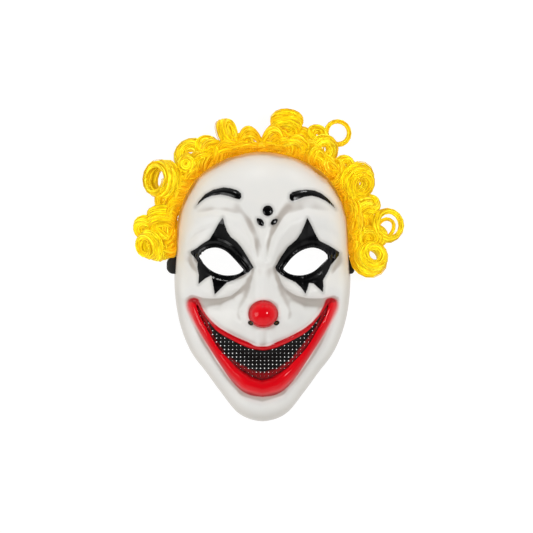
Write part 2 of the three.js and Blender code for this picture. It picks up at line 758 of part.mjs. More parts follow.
function wave(row) {
  const thick = row.thick * lockRadius;
  const steps = 4;
  const stations = [];
  for (let i = 0; i <= steps; i += 1) {
    const t = i / steps;
    const arch = Math.sin(t * Math.PI);
    const out = THREE.MathUtils.lerp(hairGap + weftThickness / 2, hairGap + thick + row.out * hairReach, arch);
    const height = THREE.MathUtils.lerp(weftBottom + weftHeight / 2, row.up * hairLoft, arch);
    const at = besideOutline(THREE.MathUtils.lerp(row.from, row.to, t), out, height);
    const taper = THREE.MathUtils.lerp(0.55, 1, arch);
    stations.push({ at, wide: thick * taper, long: thick * taper, axis: new THREE.Vector3(0, 0, 1) });
  }
  return lockTube(stations, lockSides);
}

function weft() {
  const rings = [];
  const steps = 18;
  const inner = hairGap + rimFlare;
  const section = [
    { out: inner, up: weftBottom },
    { out: inner + weftThickness, up: weftBottom },
    { out: inner + weftThickness, up: weftBottom + weftHeight },
    { out: inner, up: weftBottom + weftHeight },
  ];
  for (let i = 0; i <= steps; i += 1) {
    const degrees = THREE.MathUtils.lerp(hairLeftEnd, hairRightEnd, i / steps);
    rings.push(section.map((corner) => besideOutline(degrees, corner.out, corner.up)));
  }
  return loft(rings);
}

// The room that a strap's threaded end takes outside the wall.
function strapRoom(side) {
  const bulge = side < 0 ? strapBulge.left : strapBulge.right;
  const half = strapWidth / 2 + hairGap;
  const outer = halfWidthAt(templeLevel + half) + rimFlare + 2 * strapGap + bulge + hairGap;
  const ends = [side * halfWidth * 0.8, side * outer].sort((a, b) => a - b);
  const top = upperSlitLevel + strapThickness + hairGap;
  return box(
    new THREE.Vector3(ends[0], templeLevel - half, -1),
    new THREE.Vector3(ends[1], templeLevel + half, top),
  );
}

// The room that the face takes, straight up from its outline.
function faceRoom() {
  const points = [];
  for (let k = 0; k < sheetSpokes; k += 1) {
    const degrees = (k * 360) / sheetSpokes;
    points.push(outlinePoint(degrees).addScaledVector(outlineNormal(degrees), rimFlare + hairGap));
  }
  return prism(points, -1, crownHeight);
}

// All locks are one body with the weft, trimmed to stay clear of the face and the strap.
function curlyHair() {
  let hair = weft();
  for (const row of waves) hair = hair.add(wave(row));
  for (const row of ringlets) hair = hair.add(ringlet(row));
  hair = hair.subtract(faceRoom());
  for (const side of [-1, 1]) hair = hair.subtract(strapRoom(side));
  return withoutPockets(hair);
}

// The head strap: a band whose ends are threaded out by the upper slit and in by the lower one and sewn to its back.
// Inside, it stands on its edge along the wall, under the forehead.
function ribbon(points, thickness, from, to) {
  const half = thickness / 2;
  const offset = (sign) =>
    points.map((p, i) => {
      const before = points[Math.max(i - 1, 0)];
      const after = points[Math.min(i + 1, points.length - 1)];
      const along = after.clone().sub(before).normalize();
      return new THREE.Vector2(p.x - along.y * half * sign, p.y + along.x * half * sign);
    });
  return prism([...offset(1), ...offset(-1).reverse()], from, to);
}

// The outline's half width at a height on the face.
function halfWidthAt(y) {
  let low = -90;
  let high = 90;
  for (let i = 0; i < 40; i += 1) {
    const middle = (low + high) / 2;
    if (outlinePoint(middle).y < y) low = middle;
    else high = middle;
  }
  return outlinePoint(low).x;
}

// The threaded end on one side, seen along Y: x runs outwards from the face's middle and y is the height.
function strapEndPoints(bulge) {
  const half = strapThickness / 2;
  const edges = [-1, 0, 1].map((end) => halfWidthAt(templeLevel + (end * strapWidth) / 2));
  const outside = Math.max(...edges) + rimFlare + strapGap;
  const inside = Math.min(...edges) - wall - 2 * strapGap;
  const rise = upperSlitLevel - lowerSlitLevel;
  const points = [
    new THREE.Vector2(inside - strapThickness - half, lowerSlitLevel + 1),
    new THREE.Vector2(inside - strapThickness - half, upperSlitLevel - 1.5),
    new THREE.Vector2(inside - strapThickness, upperSlitLevel - half * 0.4),
    new THREE.Vector2(inside, upperSlitLevel),
  ];
  const steps = 6;
  for (let i = 0; i <= steps; i += 1) {
    const turn = (i / steps) * Math.PI;
    const out = outside + (bulge - half) * Math.sin(turn);
    points.push(new THREE.Vector2(out, lowerSlitLevel + rise * (0.5 + 0.5 * Math.cos(turn))));
  }
  points.push(new THREE.Vector2(inside, lowerSlitLevel));
  points.push(new THREE.Vector2(inside - half, lowerSlitLevel + 1));
  points.push(new THREE.Vector2(inside - half, upperSlitLevel - 4));
  return points;
}

function strapEnd(side) {
  const points = strapEndPoints(side < 0 ? strapBulge.left : strapBulge.right);
  const band = ribbon(points, strapThickness, -strapWidth / 2, strapWidth / 2);
  const geometry = geometryFrom(band);
  geometry.rotateX(Math.PI / 2);
  if (side < 0) geometry.rotateZ(Math.PI);
  geometry.translate(0, templeLevel, 0);
  return solidFrom(geometry);
}

function pathLength(points) {
  return points.slice(1).reduce((sum, point, i) => sum + point.distanceTo(points[i]), 0);
}

// The band's way along the inside of the wall; bow is the share of the forehead's height that it reaches.
function strapWay(bow) {
  const inset = wall + strapGap + 2.4 * strapThickness;
  const points = [];
  const steps = 24;
  for (let i = 0; i <= steps; i += 1) {
    const degrees = THREE.MathUtils.lerp(3, 177, i / steps);
    const edge = outlinePoint(degrees).addScaledVector(outlineNormal(degrees), -inset);
    const lift = Math.max(edge.y - templeLevel, 0);
    const y = edge.y > templeLevel ? templeLevel + lift * bow : edge.y;
    const pull = THREE.MathUtils.smoothstep(lift, 0, halfHeight) * (1 - bow) * 0.3;
    points.push(new THREE.Vector2(edge.x * (1 - pull), y));
  }
  return points.filter((p) => p.y > templeLevel - strapWidth / 2);
}

function headStrap() {
  const ends = [-1, 1].map(strapEnd);
  const used = [strapBulge.left, strapBulge.right].reduce((sum, bulge) => sum + pathLength(strapEndPoints(bulge)), 0);
  let low = 0.1;
  let high = 1;
  for (let i = 0; i < 30; i += 1) {
    const middle = (low + high) / 2;
    if (pathLength(strapWay(middle)) + used < strapLength) low = middle;
    else high = middle;
  }
  const band = ribbon(strapWay(low), strapThickness, strapGap, strapGap + strapWidth);
  return band.add(ends[0]).add(ends[1]);
}

// Materials and assembly

function piece(name, solid, color, roughness) {
  const mesh = new THREE.Mesh(geometryFrom(solid), new THREE.MeshStandardMaterial({ color, roughness, metalness: 0 }));
  mesh.name = name;
  return mesh;
}

const mask = new THREE.Group();
mask.add(
  piece("face_shell", faceShell(), 0xe9e8e3, 0.22),
  piece("mouth_net", mouthNet(), 0x0c0c0c, 0.6),
  piece("curly_hair", curlyHair(), 0xffc80a, 0.35),
  piece("head_strap", headStrap(), 0x111111, 0.85),
);

// The origin is the middle of the resting part's box, on the surface that it lies on.
const bounds = new THREE.Box3().setFromObject(mask);
const middle = bounds.getCenter(new THREE.Vector3());
for (const mesh of mask.children) mesh.position.set(-middle.x, -middle.y, -bounds.min.z);

export default mask;
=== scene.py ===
# Looks of the clown mask: glossy painted face, pierced mouth net, curls of shiny fibre and woven elastic.
# The tables of the face are in millimetres or shares about the middle of the face, +X to the viewer's right,
# +Y up to the forehead and +Z out of the face.
import math

import bpy
import numpy as np
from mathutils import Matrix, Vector


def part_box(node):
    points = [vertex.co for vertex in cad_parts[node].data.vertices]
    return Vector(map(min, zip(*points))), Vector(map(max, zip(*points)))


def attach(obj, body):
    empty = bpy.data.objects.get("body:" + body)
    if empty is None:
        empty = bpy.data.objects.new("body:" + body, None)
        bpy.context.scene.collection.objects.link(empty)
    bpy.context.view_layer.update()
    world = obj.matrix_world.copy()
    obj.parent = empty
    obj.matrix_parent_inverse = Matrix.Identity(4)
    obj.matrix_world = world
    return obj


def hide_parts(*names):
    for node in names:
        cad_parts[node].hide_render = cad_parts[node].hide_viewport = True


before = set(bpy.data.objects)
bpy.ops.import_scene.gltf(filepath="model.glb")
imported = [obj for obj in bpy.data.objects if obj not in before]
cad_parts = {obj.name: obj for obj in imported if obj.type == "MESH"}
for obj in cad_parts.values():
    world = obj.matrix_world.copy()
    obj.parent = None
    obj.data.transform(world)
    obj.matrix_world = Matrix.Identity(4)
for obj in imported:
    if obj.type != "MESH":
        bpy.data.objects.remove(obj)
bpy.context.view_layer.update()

MM = 0.001
low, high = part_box("face_shell")
middle_x = (low[0] + high[0]) / 2
middle_y = (low[1] + high[1]) / 2

# Sizes that the solids have too
mask_width = 159.0
mask_height = 244.0
crown_height = 57.0
skirt_height = 7.0
rim_flare = 0.7
wall = 1.6
side_roundness = 2.1
end_roundness = 3.3
dome_sharpness = 2.25
temple_level = 19.0
nose_level = -24.0
nose_ball_radius = 13.0
nose_ball_height = 68.0
mouth_width = 119.0
mouth_height = 68.0
mouth_top = -15.0
lower_lip_width = 14.5
lower_lip_rise = 6.4
upper_lip_width = 5.0
upper_lip_rise = 2.2
strap_width = 16.0
strap_thickness = 1.2
strap_length = 285.0
strap_gap = 0.4
lower_slit = 5.0
upper_slit = 14.0
strap_bulge = {-1: 6.4, 1: 3.6}
weft_bottom = 2.0
weft_height = 12.0
weft_thickness = 2.4
hair_gap = 0.4
hair_reach = 40.0
hair_loft = 30.0
curl_radius = 12.0
lock_radius = 4.4

half_width = mask_width / 2
half_height = mask_height / 2

outline = [1.0, 0.981, 0.916, 0.899, 0.944, 0.976, 0.995, 1.018, 1.091, 1.1, 1.05, 1.012, 1.0]

# Folds that the solids have, as stations: shares of the half width and half height, then width and rise
forms = {
    "brow_fold": [
        (0.075, 0.2, 7, 4.5), (0.17, 0.345, 9, 6.5), (0.31, 0.45, 10, 7), (0.5, 0.5, 10, 6),
        (0.7, 0.46, 10, 4), (0.83, 0.36, 9, 1.5),
    ],
    "eye_socket": [(0.3, 0.15, 15, -6), (0.5, 0.2, 17, -7), (0.68, 0.21, 13, -4.5)],
    "cheek": [(0.46, 0.0, 16, 5), (0.64, 0.0, 17, 8.5), (0.8, -0.01, 12, 6)],
    "cheek_crease": [
        (0.22, -0.02, 5, -1), (0.33, -0.085, 5, -3), (0.48, -0.115, 5.5, -4), (0.66, -0.115, 6, -4),
        (0.82, -0.085, 5, -2.5),
    ],
    "muzzle": [(0.0, -0.33, 26, 4), (0.3, -0.25, 20, 4)],
    "mouth_bowl": [(0.0, -0.57, 20, -2.5), (0.4, -0.4, 16, -2.5)],
    "nose_bridge": [
        (0.0, 0.3, 8, 1.5), (0.0, 0.16, 9.5, 6.5), (0.0, 0.0, 11, 11.5), (0.0, -0.14, 13.5, 15.5),
        (0.0, -0.24, 12, 12.5),
    ],
    "nose_wing": [(0.2, -0.215, 8.5, 7), (0.235, -0.255, 7.5, 6)],
    "chin": [(0.0, -0.89, 20, 4.5), (0.1, -0.88, 18, 4.5)],
    "lip_crease": [(0.0, -0.825, 5, -3), (0.22, -0.78, 4.5, -2)],
    "jaw_band": [(0.88, -0.2, 7, 2), (0.76, -0.44, 7, 4), (0.56, -0.66, 8, 4.5), (0.36, -0.85, 8, 3)],
    "frown_line": [
        (0.055, 0.21, 2.6, -2), (0.075, 0.33, 3, -2.6), (0.16, 0.47, 4, -2.2), (0.28, 0.58, 4.5, -1.4),
    ],
}

# Finer folds of the formed sheet: how far the mirror line is off the middle, then stations in millimetres
fine_forms = {
    "frown_fine": (1.5, [
        (19.8, 67.5, 2.0, -0.3), (14.4, 61.8, 2.0, -0.6), (9.4, 53.5, 2.0, -0.8), (5.6, 44.8, 1.9, -0.8),
        (3.1, 35.4, 1.8, -0.7), (2.5, 26.0, 1.6, -0.5),
    ]),
    "fold_crest": (1.5, [
        (24.0, 60.0, 4.2, 1.0), (13.9, 44.0, 3.6, 1.8), (9.2, 30.0, 3.0, 1.8), (7.2, 20.0, 2.6, 1.0),
    ]),
    "nose_edge": (1.5, [(7.4, 15.0, 2.4, 0.8), (7.6, 4.0, 2.6, 1.3), (8.4, -9.0, 2.8, 1.2)]),
    "wing": (1.0, [(16.5, -21.0, 5.0, 2.0), (16.0, -28.0, 4.6, 1.8)]),
    "nose_side": (1.5, [
        (10.3, 15.0, 1.8, -0.9), (13.9, 0.3, 2.4, -1.4), (16.8, -8.0, 2.8, -1.4), (20.2, -14.5, 2.8, -1.3),
        (22.3, -19.5, 2.7, -1.4), (22.8, -23.5, 2.6, -1.5), (21.9, -27.6, 2.6, -1.5),
        (19.2, -31.4, 2.6, -1.3), (14.5, -35.0, 2.6, -0.7),
    ]),
    "cheek_fine": (1.0, [
        (12.0, 8.0, 1.8, -0.8), (15.5, 2.0, 1.9, -1.4), (21.5, -4.5, 2.0, -2.0), (28.5, -9.0, 2.0, -2.2),
        (38.0, -12.0, 2.0, -2.3), (47.0, -12.3, 2.0, -2.1), (58.0, -11.0, 2.0, -1.6), (66.0, -9.5, 2.0, -1.0),
    ]),
    "cheek_bank": (1.0, [
        (23.0, 0.5, 3.6, 1.2), (31.0, -4.0, 3.8, 1.8), (41.0, -6.6, 4.0, 1.9), (52.0, -6.4, 4.0, 1.6),
    ]),
    "hood_crease": (1.5, [
        (47.0, 53.5, 2.2, -0.9), (54.0, 51.0, 2.4, -1.5), (61.0, 48.0, 2.4, -1.7), (67.5, 41.0, 2.2, -1.2),
    ]),
    "hood": (1.5, [(52.0, 43.5, 5.5, 1.6), (60.0, 38.0, 5.0, 1.8)]),
    "crow_foot": (2.0, [
        (68.5, 25.0, 2.0, -1.0), (65.0, 18.5, 2.0, -1.6), (61.0, 13.0, 2.0, -1.6), (57.5, 8.0, 2.0, -0.8),
    ]),
    "crow_bank": (2.0, [(70.0, 16.0, 4.0, 0.9), (66.5, 9.0, 4.0, 1.0)]),
    "brow_crease": (1.5, [
        (60.0, 66.5, 2.6, -0.9), (46.0, 69.0, 2.6, -1.4), (33.0, 68.5, 2.6, -1.3), (25.0, 66.0, 2.4, -0.8),
    ]),
    "brow_bank": (1.5, [(58.0, 61.0, 4.0, 0.8), (45.0, 63.0, 4.0, 1.2), (33.0, 62.0, 4.0, 1.0)]),
    "second_crease": (1.5, [(60.0, 57.5, 2.0, -0.5), (48.0, 59.5, 2.0, -0.9), (38.0, 59.0, 2.0, -0.6)]),
    "lid_bag": (1.5, [
        (17.0, 9.0, 2.6, -0.8), (27.0, 3.5, 2.8, -1.0), (40.0, 1.0, 2.8, -0.9), (52.0, 4.0, 2.6, -0.7),
    ]),
    "lip_groove": (1.5, [(0.0, -41.0, 3.0, -0.9), (0.0, -51.0, 3.4, -1.0)]),
    "groove_bank": (1.5, [(5.0, -41.0, 2.6, 0.5), (5.8, -50.0, 2.8, 0.6)]),
    "outer_lip_crease": (0.0, [
        (0.0, -100.8, 2.4, -1.3), (8.0, -100.2, 2.4, -1.3), (14.5, -97.6, 2.4, -1.3),
        (21.0, -93.0, 2.4, -1.3), (30.5, -84.0, 2.4, -1.3), (43.0, -66.0, 2.5, -1.3),
        (53.0, -50.0, 2.4, -1.1), (63.0, -33.0, 2.4, -0.9), (69.0, -20.0, 2.4, -0.6),
    ]),
    "upper_lip_crease": (0.0, [
        (8.0, -50.0, 2.0, -0.3), (25.0, -41.0, 2.2, -0.4), (39.0, -33.0, 2.2, -0.4), (50.0, -22.0, 2.2, -0.3),
    ]),
    "chin_crease": (1.5, [(0.0, -106.0, 3.4, -0.8), (10.0, -104.5, 3.4, -0.7)]),
    "jaw_line": (0.0, [
        (73.0, -15.0, 3.0, 0.7), (68.0, -42.0, 3.0, 1.1), (54.0, -70.0, 3.0, 1.2), (38.0, -94.0, 3.0, 1.0),
    ]),
}

lower_lip = [
    (0.0, -0.742, 1.0, 1.0), (0.17, -0.715, 1.0, 1.0), (0.335, -0.625, 0.86, 0.9), (0.475, -0.51, 0.74, 0.8),
    (0.61, -0.375, 0.64, 0.7), (0.73, -0.245, 0.6, 0.6), (0.795, -0.135, 0.5, 0.35),
]
upper_lip = [
    (0.0, -0.447, 0.8, 1.0), (0.15, -0.424, 1.0, 1.0), (0.33, -0.377, 1.1, 1.0), (0.505, -0.308, 1.0, 0.9),
    (0.645, -0.205, 0.9, 0.8), (0.725, -0.115, 0.7, 0.5),
]

# Eye holes, from the inner corner round by the lower lid, in millimetres
eye_holes = {
    "left": [
        (-16.4, 14.9), (-20.5, 11.9), (-26.0, 10.4), (-34.2, 10.3), (-43.2, 13.2), (-51.0, 18.9),
        (-56.6, 27.4), (-51.6, 32.3), (-44.8, 34.6), (-38.2, 34.2), (-31.4, 30.8), (-24.6, 24.2),
    ],
    "right": [
        (18.4, 15.7), (23.0, 12.2), (29.0, 10.4), (36.5, 10.4), (44.5, 13.0), (52.0, 18.6), (59.8, 26.4),
        (55.0, 31.6), (47.5, 34.5), (41.0, 34.3), (33.5, 31.4), (26.0, 25.4),
    ],
}
# Raised rims round the eye holes and the groove between them: rise, distance from the hole and width
eye_rims = [(1.9, 1.4, 1.25), (1.3, 5.6, 1.1), (-1.1, 3.6, 0.9)]

# The mouth's outline, as shares of its half width and of its height down from its corners
mouth_upper = [(0.0, 0.61), (0.21, 0.577), (0.445, 0.482), (0.672, 0.367), (0.857, 0.172), (1.0, -0.01)]
mouth_lower = [(0.96, 0.14), (0.815, 0.36), (0.655, 0.588), (0.42, 0.8), (0.235, 0.918), (0.0, 1.0)]

# Outer edge of the red round the mouth, from its middle to the corner and back below, with the width of its
# soft edge, in millimetres
red_edge = [
    (0.0, -53.0, 0.7), (6.0, -52.6, 0.7), (13.0, -49.0, 0.7), (25.5, -43.6, 0.7), (39.5, -35.6, 0.7),
    (49.0, -26.4, 0.8), (54.5, -17.4, 1.0), (57.0, -11.6, 1.0), (61.6, -10.0, 1.1), (66.4, -12.4, 1.8),
    (67.0, -18.5, 3.0), (63.2, -27.5, 2.8), (56.5, -40.0, 1.7), (48.5, -53.0, 1.2), (38.5, -68.2, 0.9),
    (29.5, -81.6, 0.8), (20.5, -91.5, 0.8), (11.0, -96.8, 0.8), (0.0, -98.4, 0.8),
]

# Black make-up round each eye, one row for each point of its outline, in millimetres
make_up = {
    "left": [
        (-35.0, 62.1), (-33.5, 55.6), (-31.3, 49.3), (-27.8, 44.1), (-22.8, 40.2), (-18.8, 35.6),
        (-13.0, 26.4), (-7.6, 17.3), (-12.2, 12.7), (-19.0, 9.2), (-26.0, 5.6), (-31.5, 3.8), (-42.3, -7.0),
        (-43.8, 1.8), (-45.3, 9.9), (-50.1, 7.8), (-57.0, 2.2), (-56.7, 10.5), (-58.2, 16.7), (-57.9, 21.8),
        (-60.7, 26.2), (-65.7, 30.8), (-58.8, 34.4), (-53.6, 38.4), (-47.3, 42.1), (-43.5, 48.1),
        (-39.4, 55.6),
    ],
    "right": [
        (39.9, 61.6), (37.7, 55.6), (34.2, 47.8), (30.2, 41.8), (22.7, 35.6), (17.0, 27.4), (11.2, 17.3),
        (12.6, 14.2), (17.0, 10.4), (23.3, 6.8), (29.5, 3.9), (34.6, -0.9), (38.3, -6.4), (40.5, -0.9),
        (41.5, 3.4), (45.4, 2.9), (49.6, -0.9), (54.0, -5.2), (54.5, 0.4), (54.0, 6.0), (58.4, 12.9),
        (61.5, 19.8), (64.6, 22.9), (70.3, 29.9), (64.6, 33.9), (58.4, 37.4), (50.8, 41.1), (47.8, 46.1),
        (43.3, 55.5),
    ],
}
brows = {
    "left": [
        (-60.0, 71.1), (-56.8, 76.6), (-51.3, 82.8), (-43.7, 86.9), (-35.0, 88.8), (-27.4, 87.8),
        (-21.8, 85.9), (-18.9, 82.9), (-18.6, 79.6), (-20.5, 77.6), (-24.2, 78.6), (-30.6, 80.9),
        (-37.5, 82.2), (-45.0, 81.2), (-51.2, 78.8), (-56.2, 74.8),
    ],
    "right": [
        (24.0, 79.3), (24.4, 82.5), (26.8, 84.4), (31.5, 85.9), (39.0, 86.9), (46.6, 86.1), (52.8, 83.6),
        (59.1, 78.7), (64.1, 73.0), (66.2, 69.2), (61.6, 73.0), (56.6, 76.8), (50.3, 79.7), (44.0, 81.1),
        (37.8, 80.3), (31.5, 77.8), (27.1, 76.3), (24.9, 77.1),
    ],
}

# Forehead dots: middle, half length, half width and tilt in degrees
dots = [(4.9, 67.6, 4.8, 4.8, 0), (-1.8, 57.5, 4.6, 2.7, -47), (10.5, 57.7, 4.3, 2.3, 40)]

# Nostrils: middle, half length, half width and tilt in degrees
nostrils = [(-10.2, -32.0, 2.6, 2.0, -25), (12.6, -32.0, 2.6, 2.0, 25)]
pinhole = 0.45
nose_x = 0.8
nose_squash = 1.07

# The face's mesh: points round it, rows next to the nose and their step, then rows up to the steep side
spokes = 288
near_rows = 22
near_step = 0.72
middle_rows = 80

# The net's holes: the middle and pitch of their grid, their radius, and how far the sheet passes the mouth
net_middle = np.array([0.15, -59.4])
net_pitch = np.array([3.57, 3.36])
net_hole = 0.52
net_margin = 5.5

# Lower limit of the net's bare black, in millimetres; below it the net is tinted red
black_limit = [
    (-60.0, 30.0), (-52.2, 0.0), (-51.0, -26.0), (-43.0, -45.5), (-32.0, -61.5), (-20.5, -69.0),
    (-9.5, -74.8), (0.5, -77.0), (13.0, -73.5), (24.3, -66.0), (35.5, -52.5), (46.5, -38.0), (52.0, -28.0),
    (53.2, 0.0), (60.0, 30.0),
]

# Ringlets: angle on the outline, shares as in the solids, lean and its direction, the angle where the lock
# leaves the weft, the turns, the last radius as a share of the first, and whether the middle stays open
ringlet_columns = "at out up coil long thick lean swing root turns close open".split()
ringlet_rows = [
    (163, 0.6, 0.42, 1.05, 3.0, 0.95, 44, 200, 158, 3.0, 0.55, True),
    (154, 0.36, 0.56, 0.95, 2.8, 0.95, 62, 268, 150, 3.4, 0.75, False),
    (157, 0.7, 0.3, 0.78, 1.8, 0.85, 35, 235, 152, 2.0, 0.85, False),
    (141, 0.66, 0.5, 1.2, 3.2, 0.95, 43, 175, 143, 3.2, 0.9, True),
    (131.5, 0.38, 0.9, 0.52, 1.6, 1.0, 12, 200, 134, 1.8, 0.5, False),
    (128, 0.47, 0.42, 1.15, 1.8, 1.0, 20, 120, 122, 2.0, 0.7, False),
    (120, 0.46, 0.5, 0.72, 2.0, 0.95, 30, 100, 115, 2.2, 0.7, False),
    (108.5, 0.56, 0.62, 0.92, 1.7, 0.8, 66, 16, 105, 1.7, 0.9, False),
    (78, 0.36, 0.3, 1.05, 1.8, 1.0, 15, 90, 88, 2.0, 0.6, False),
    (78.5, 0.66, 0.55, 1.05, 2.4, 0.9, 60, 262, 74, 3.0, 0.85, False),
    (63, 0.66, 0.3, 0.66, 1.8, 0.9, 20, 60, 66, 1.8, 0.7, False),
    (55.5, 0.95, 0.22, 0.9, 0.5, 0.5, 14, 30, 52, 1.3, 1.0, False),
    (57, 0.42, 0.6, 1.05, 1.8, 1.0, 22, 330, 62, 2.0, 0.6, False),
    (38.5, 0.5, 0.6, 1.35, 3.0, 1.1, 34, 325, 44, 3.4, 0.45, False),
    (30, 0.4, 0.52, 0.72, 2.4, 0.95, 60, 300, 34, 2.6, 0.9, False),
    (24, 0.92, 0.3, 1.2, 1.5, 0.66, 24, 20, 28, 2.4, 0.8, True),
    (23, 0.84, 0.34, 0.85, 0.6, 0.34, 42, 150, 26, 1.3, 0.8, False),
    (12, 0.5, 0.42, 1.12, 2.8, 1.25, 28, 40, 17, 3.4, 0.55, True),
    (165, 0.42, 0.34, 0.74, 2.0, 0.8, 60, 200, 163, 2.0, 0.9, False),
    (101, 0.26, 0.34, 0.6, 1.6, 0.9, 20, 80, 98, 1.8, 0.7, False),
    (46.5, 0.48, 0.3, 0.6, 1.6, 0.9, 20, 45, 50, 1.8, 0.8, False),
    (20, 0.42, 0.36, 0.8, 2.0, 0.9, 30, 320, 22, 2.0, 0.7, False),
    (31, 0.6, 0.36, 0.66, 1.8, 0.8, 40, 60, 34, 2.0, 0.6, False),
    (20.5, 0.62, 0.3, 0.72, 1.8, 0.8, 30, 200, 22, 2.0, 0.6, False),
    (147, 0.42, 0.3, 0.6, 1.6, 0.85, 30, 150, 146, 1.8, 0.8, False),
    (69, 0.5, 0.36, 0.62, 1.6, 0.85, 24, 70, 70, 1.8, 0.8, False),
]
ringlets = [dict(zip(ringlet_columns, row)) for row in ringlet_rows]

fine_radius = 0.34

# How thick the mass of small curls is at angles on the outline, in millimetres
mass = [
    (12, 20), (22, 18), (32, 16), (42, 24), (52, 20), (62, 23), (72, 23), (80, 17), (86, 12), (91, 7),
    (96, 11), (106, 14), (116, 22), (128, 27), (138, 23), (150, 26), (160, 24), (168, 18),
]

# Waves: start and end are angles on the outline, then shares as in the solids, then a drift outwards
wave_columns = "start end out up thick sweep".split()
wave_rows = [
    (31, 19, 0.34, 0.4, 1.1, 0), (28, 21, 0.3, 0.2, 1.0, 0), (97, 120, 0.1, 0.7, 0.85, 9),
    (128, 165, 0.16, 0.55, 1.0, 0), (88, 72, 0.3, 0.6, 1.1, 4), (82, 62, 0.24, 0.85, 1.0, 6),
    (56, 15, 0.16, 0.55, 1.0, 0), (92, 116, 0.2, 0.4, 0.95, 0), (118, 146, 0.1, 0.7, 0.7, 0),
    (74, 40, 0.1, 0.72, 0.75, 0), (106, 89, 0.3, 0.7, 1.3, 0), (92, 76, 0.36, 0.8, 1.2, 3),
    (86, 66, 0.1, 0.9, 0.8, 9), (40, 13, 0.1, 0.6, 0.8, 0), (150, 167, 0.12, 0.5, 0.8, 0),
    (92, 74, 0.16, 0.4, 0.9, 0),
]
waves = [dict(zip(wave_columns, row)) for row in wave_rows]

# Shapes


def placed(points):
    """Points about the middle of the face, in millimetres, as metres in the frame."""
    return np.asarray(points, float) * MM + np.array([middle_x, middle_y, 0.0])


def unit(v):
    return v / np.maximum(np.linalg.norm(v, axis=-1, keepdims=True), 1e-9)


def length_of(points):
    return np.linalg.norm(np.diff(points, axis=0), axis=1).sum()


def smooth_step(x, start, end):
    t = np.clip((x - start) / (end - start), 0, 1)
    return t * t * (3 - 2 * t)


def curve_at(a, b, c, d, t):
    """A Catmull-Rom curve between b and c."""
    bend = (2 * a - 5 * b + 4 * c - d) * t**2 + (3 * b - a - 3 * c + d) * t**3
    return 0.5 * (2 * b + (c - a) * t + bend)


def outline_reach(angle):
    folded = np.degrees(np.arcsin(np.clip(np.sin(angle), -1, 1)))
    values = np.array(outline)
    last = len(outline) - 1
    step = np.clip((folded + 90) / 15, 0, last)
    i = np.minimum(np.floor(step).astype(int), last - 1)
    before = values[np.maximum(i - 1, 0)]
    after = values[np.minimum(i + 2, last)]
    return curve_at(before, values[i], values[i + 1], after, step - i)


def outline_point(degrees):
    angle = np.radians(degrees)
    reach = outline_reach(angle)
    return np.stack([half_width * reach * np.cos(angle), half_height * reach * np.sin(angle)], -1)


def outline_normal(degrees):
    along = outline_point(np.asarray(degrees) + 1.0) - outline_point(np.asarray(degrees) - 1.0)
    return unit(np.stack([along[..., 1], -along[..., 0]], -1))


def share_out(x, y):
    u = x / half_width
    v = y / half_height
    return np.hypot(u, v) / outline_reach(np.arctan2(v, u))


def to_segment(a, b, x, y):
    """Distance to the line from a to b, and the share of it up to the nearest place."""
    dx = b[0] - a[0]
    dy = b[1] - a[1]
    t = np.clip(((x - a[0]) * dx + (y - a[1]) * dy) / (dx * dx + dy * dy + 1e-12), 0, 1)
    return np.hypot(x - a[0] - dx * t, y - a[1] - dy * t), t


def along_stations(stations, x, y):
    """Distance to a line through stations, and its values at the nearest place."""
    best = np.full(np.shape(x), 1e9)
    values = np.zeros(np.shape(x) + (len(stations[0]) - 2,))
    for a, b in zip(stations, stations[1:]):
        distance, t = to_segment(a, b, x, y)
        value = np.array(a[2:]) + t[..., None] * (np.array(b[2:]) - np.array(a[2:]))
        nearer = distance < best
        best = np.where(nearer, distance, best)
        values = np.where(nearer[..., None], value, values)
    return best, values


def scaled(rows, wide=1.0, rise=1.0):
    return [(r[0] * half_width, r[1] * half_height, r[2] * wide, r[3] * rise) for r in rows]


def fold_rise(stations, x, y, middle=0.0):
    best = np.zeros(np.shape(x))
    across = np.abs(x - middle)
    for a, b in zip(stations, stations[1:]):
        distance, value = along_stations([a, b], across, y)
        rise = value[..., 1] * np.exp(-((distance / value[..., 0]) ** 2))
        best = np.where(np.abs(rise) > np.abs(best), rise, best)
    return best


def lip_rise(rows, wide, rise, x, y, power):
    distance, value = along_stations(scaled(rows, wide / 2, rise), np.abs(x), y)
    share = np.clip(distance / value[..., 0], 0, 1)
    return value[..., 1] * (1 - share**2) ** power


def inside_distance(points, x, y):
    """Distance to a closed outline, positive inside it."""
    ring = np.asarray(points, float)[:, :2]
    best = np.full(np.shape(x), 1e9)
    inside = np.zeros(np.shape(x), bool)
    for a, b in zip(ring, np.roll(ring, -1, 0)):
        best = np.minimum(best, to_segment(a, b, x, y)[0])
        if a[1] != b[1]:
            crosses = (a[1] > y) != (b[1] > y)
            inside ^= crosses & (x < (b[0] - a[0]) * (y - a[1]) / (b[1] - a[1]) + a[0])
    return np.where(inside, best, -best)


def smooth_line(points, steps):
    """A Catmull-Rom curve through an open row of points."""
    p = np.asarray(points, float)
    p = np.vstack([2 * p[0] - p[1], p, 2 * p[-1] - p[-2]])
    made = []
    for i in range(1, len(p) - 2):
        for t in np.arange(steps) / steps:
            made.append(curve_at(*p[i - 1 : i + 3], t))
    made.append(p[-2])
    return np.array(made)


def eye_outline(side):
    """The eye hole's outline, sharp at its inner corner."""
    points = eye_holes[side]
    return smooth_line(points + points[:1], 6)[:-1]


def mouth_outline():
    place = lambda rows: [(x * mouth_width / 2, mouth_top - y * mouth_height) for x, y in rows]
    upper = place(mouth_upper)
    lower = place(mouth_lower)
    right_top = smooth_line([(-upper[1][0], upper[1][1])] + upper, 6)[6:]
    right_low = smooth_line(lower + [(-lower[-2][0], lower[-2][1])], 6)[:-6]
    return mirrored(np.vstack([right_top, right_low]))


def mirrored(right):
    """A closed outline from its right half, which starts and ends in the middle."""
    left = right[1:-1][::-1].copy()
    left[:, 0] *= -1
    return np.vstack([right, left])


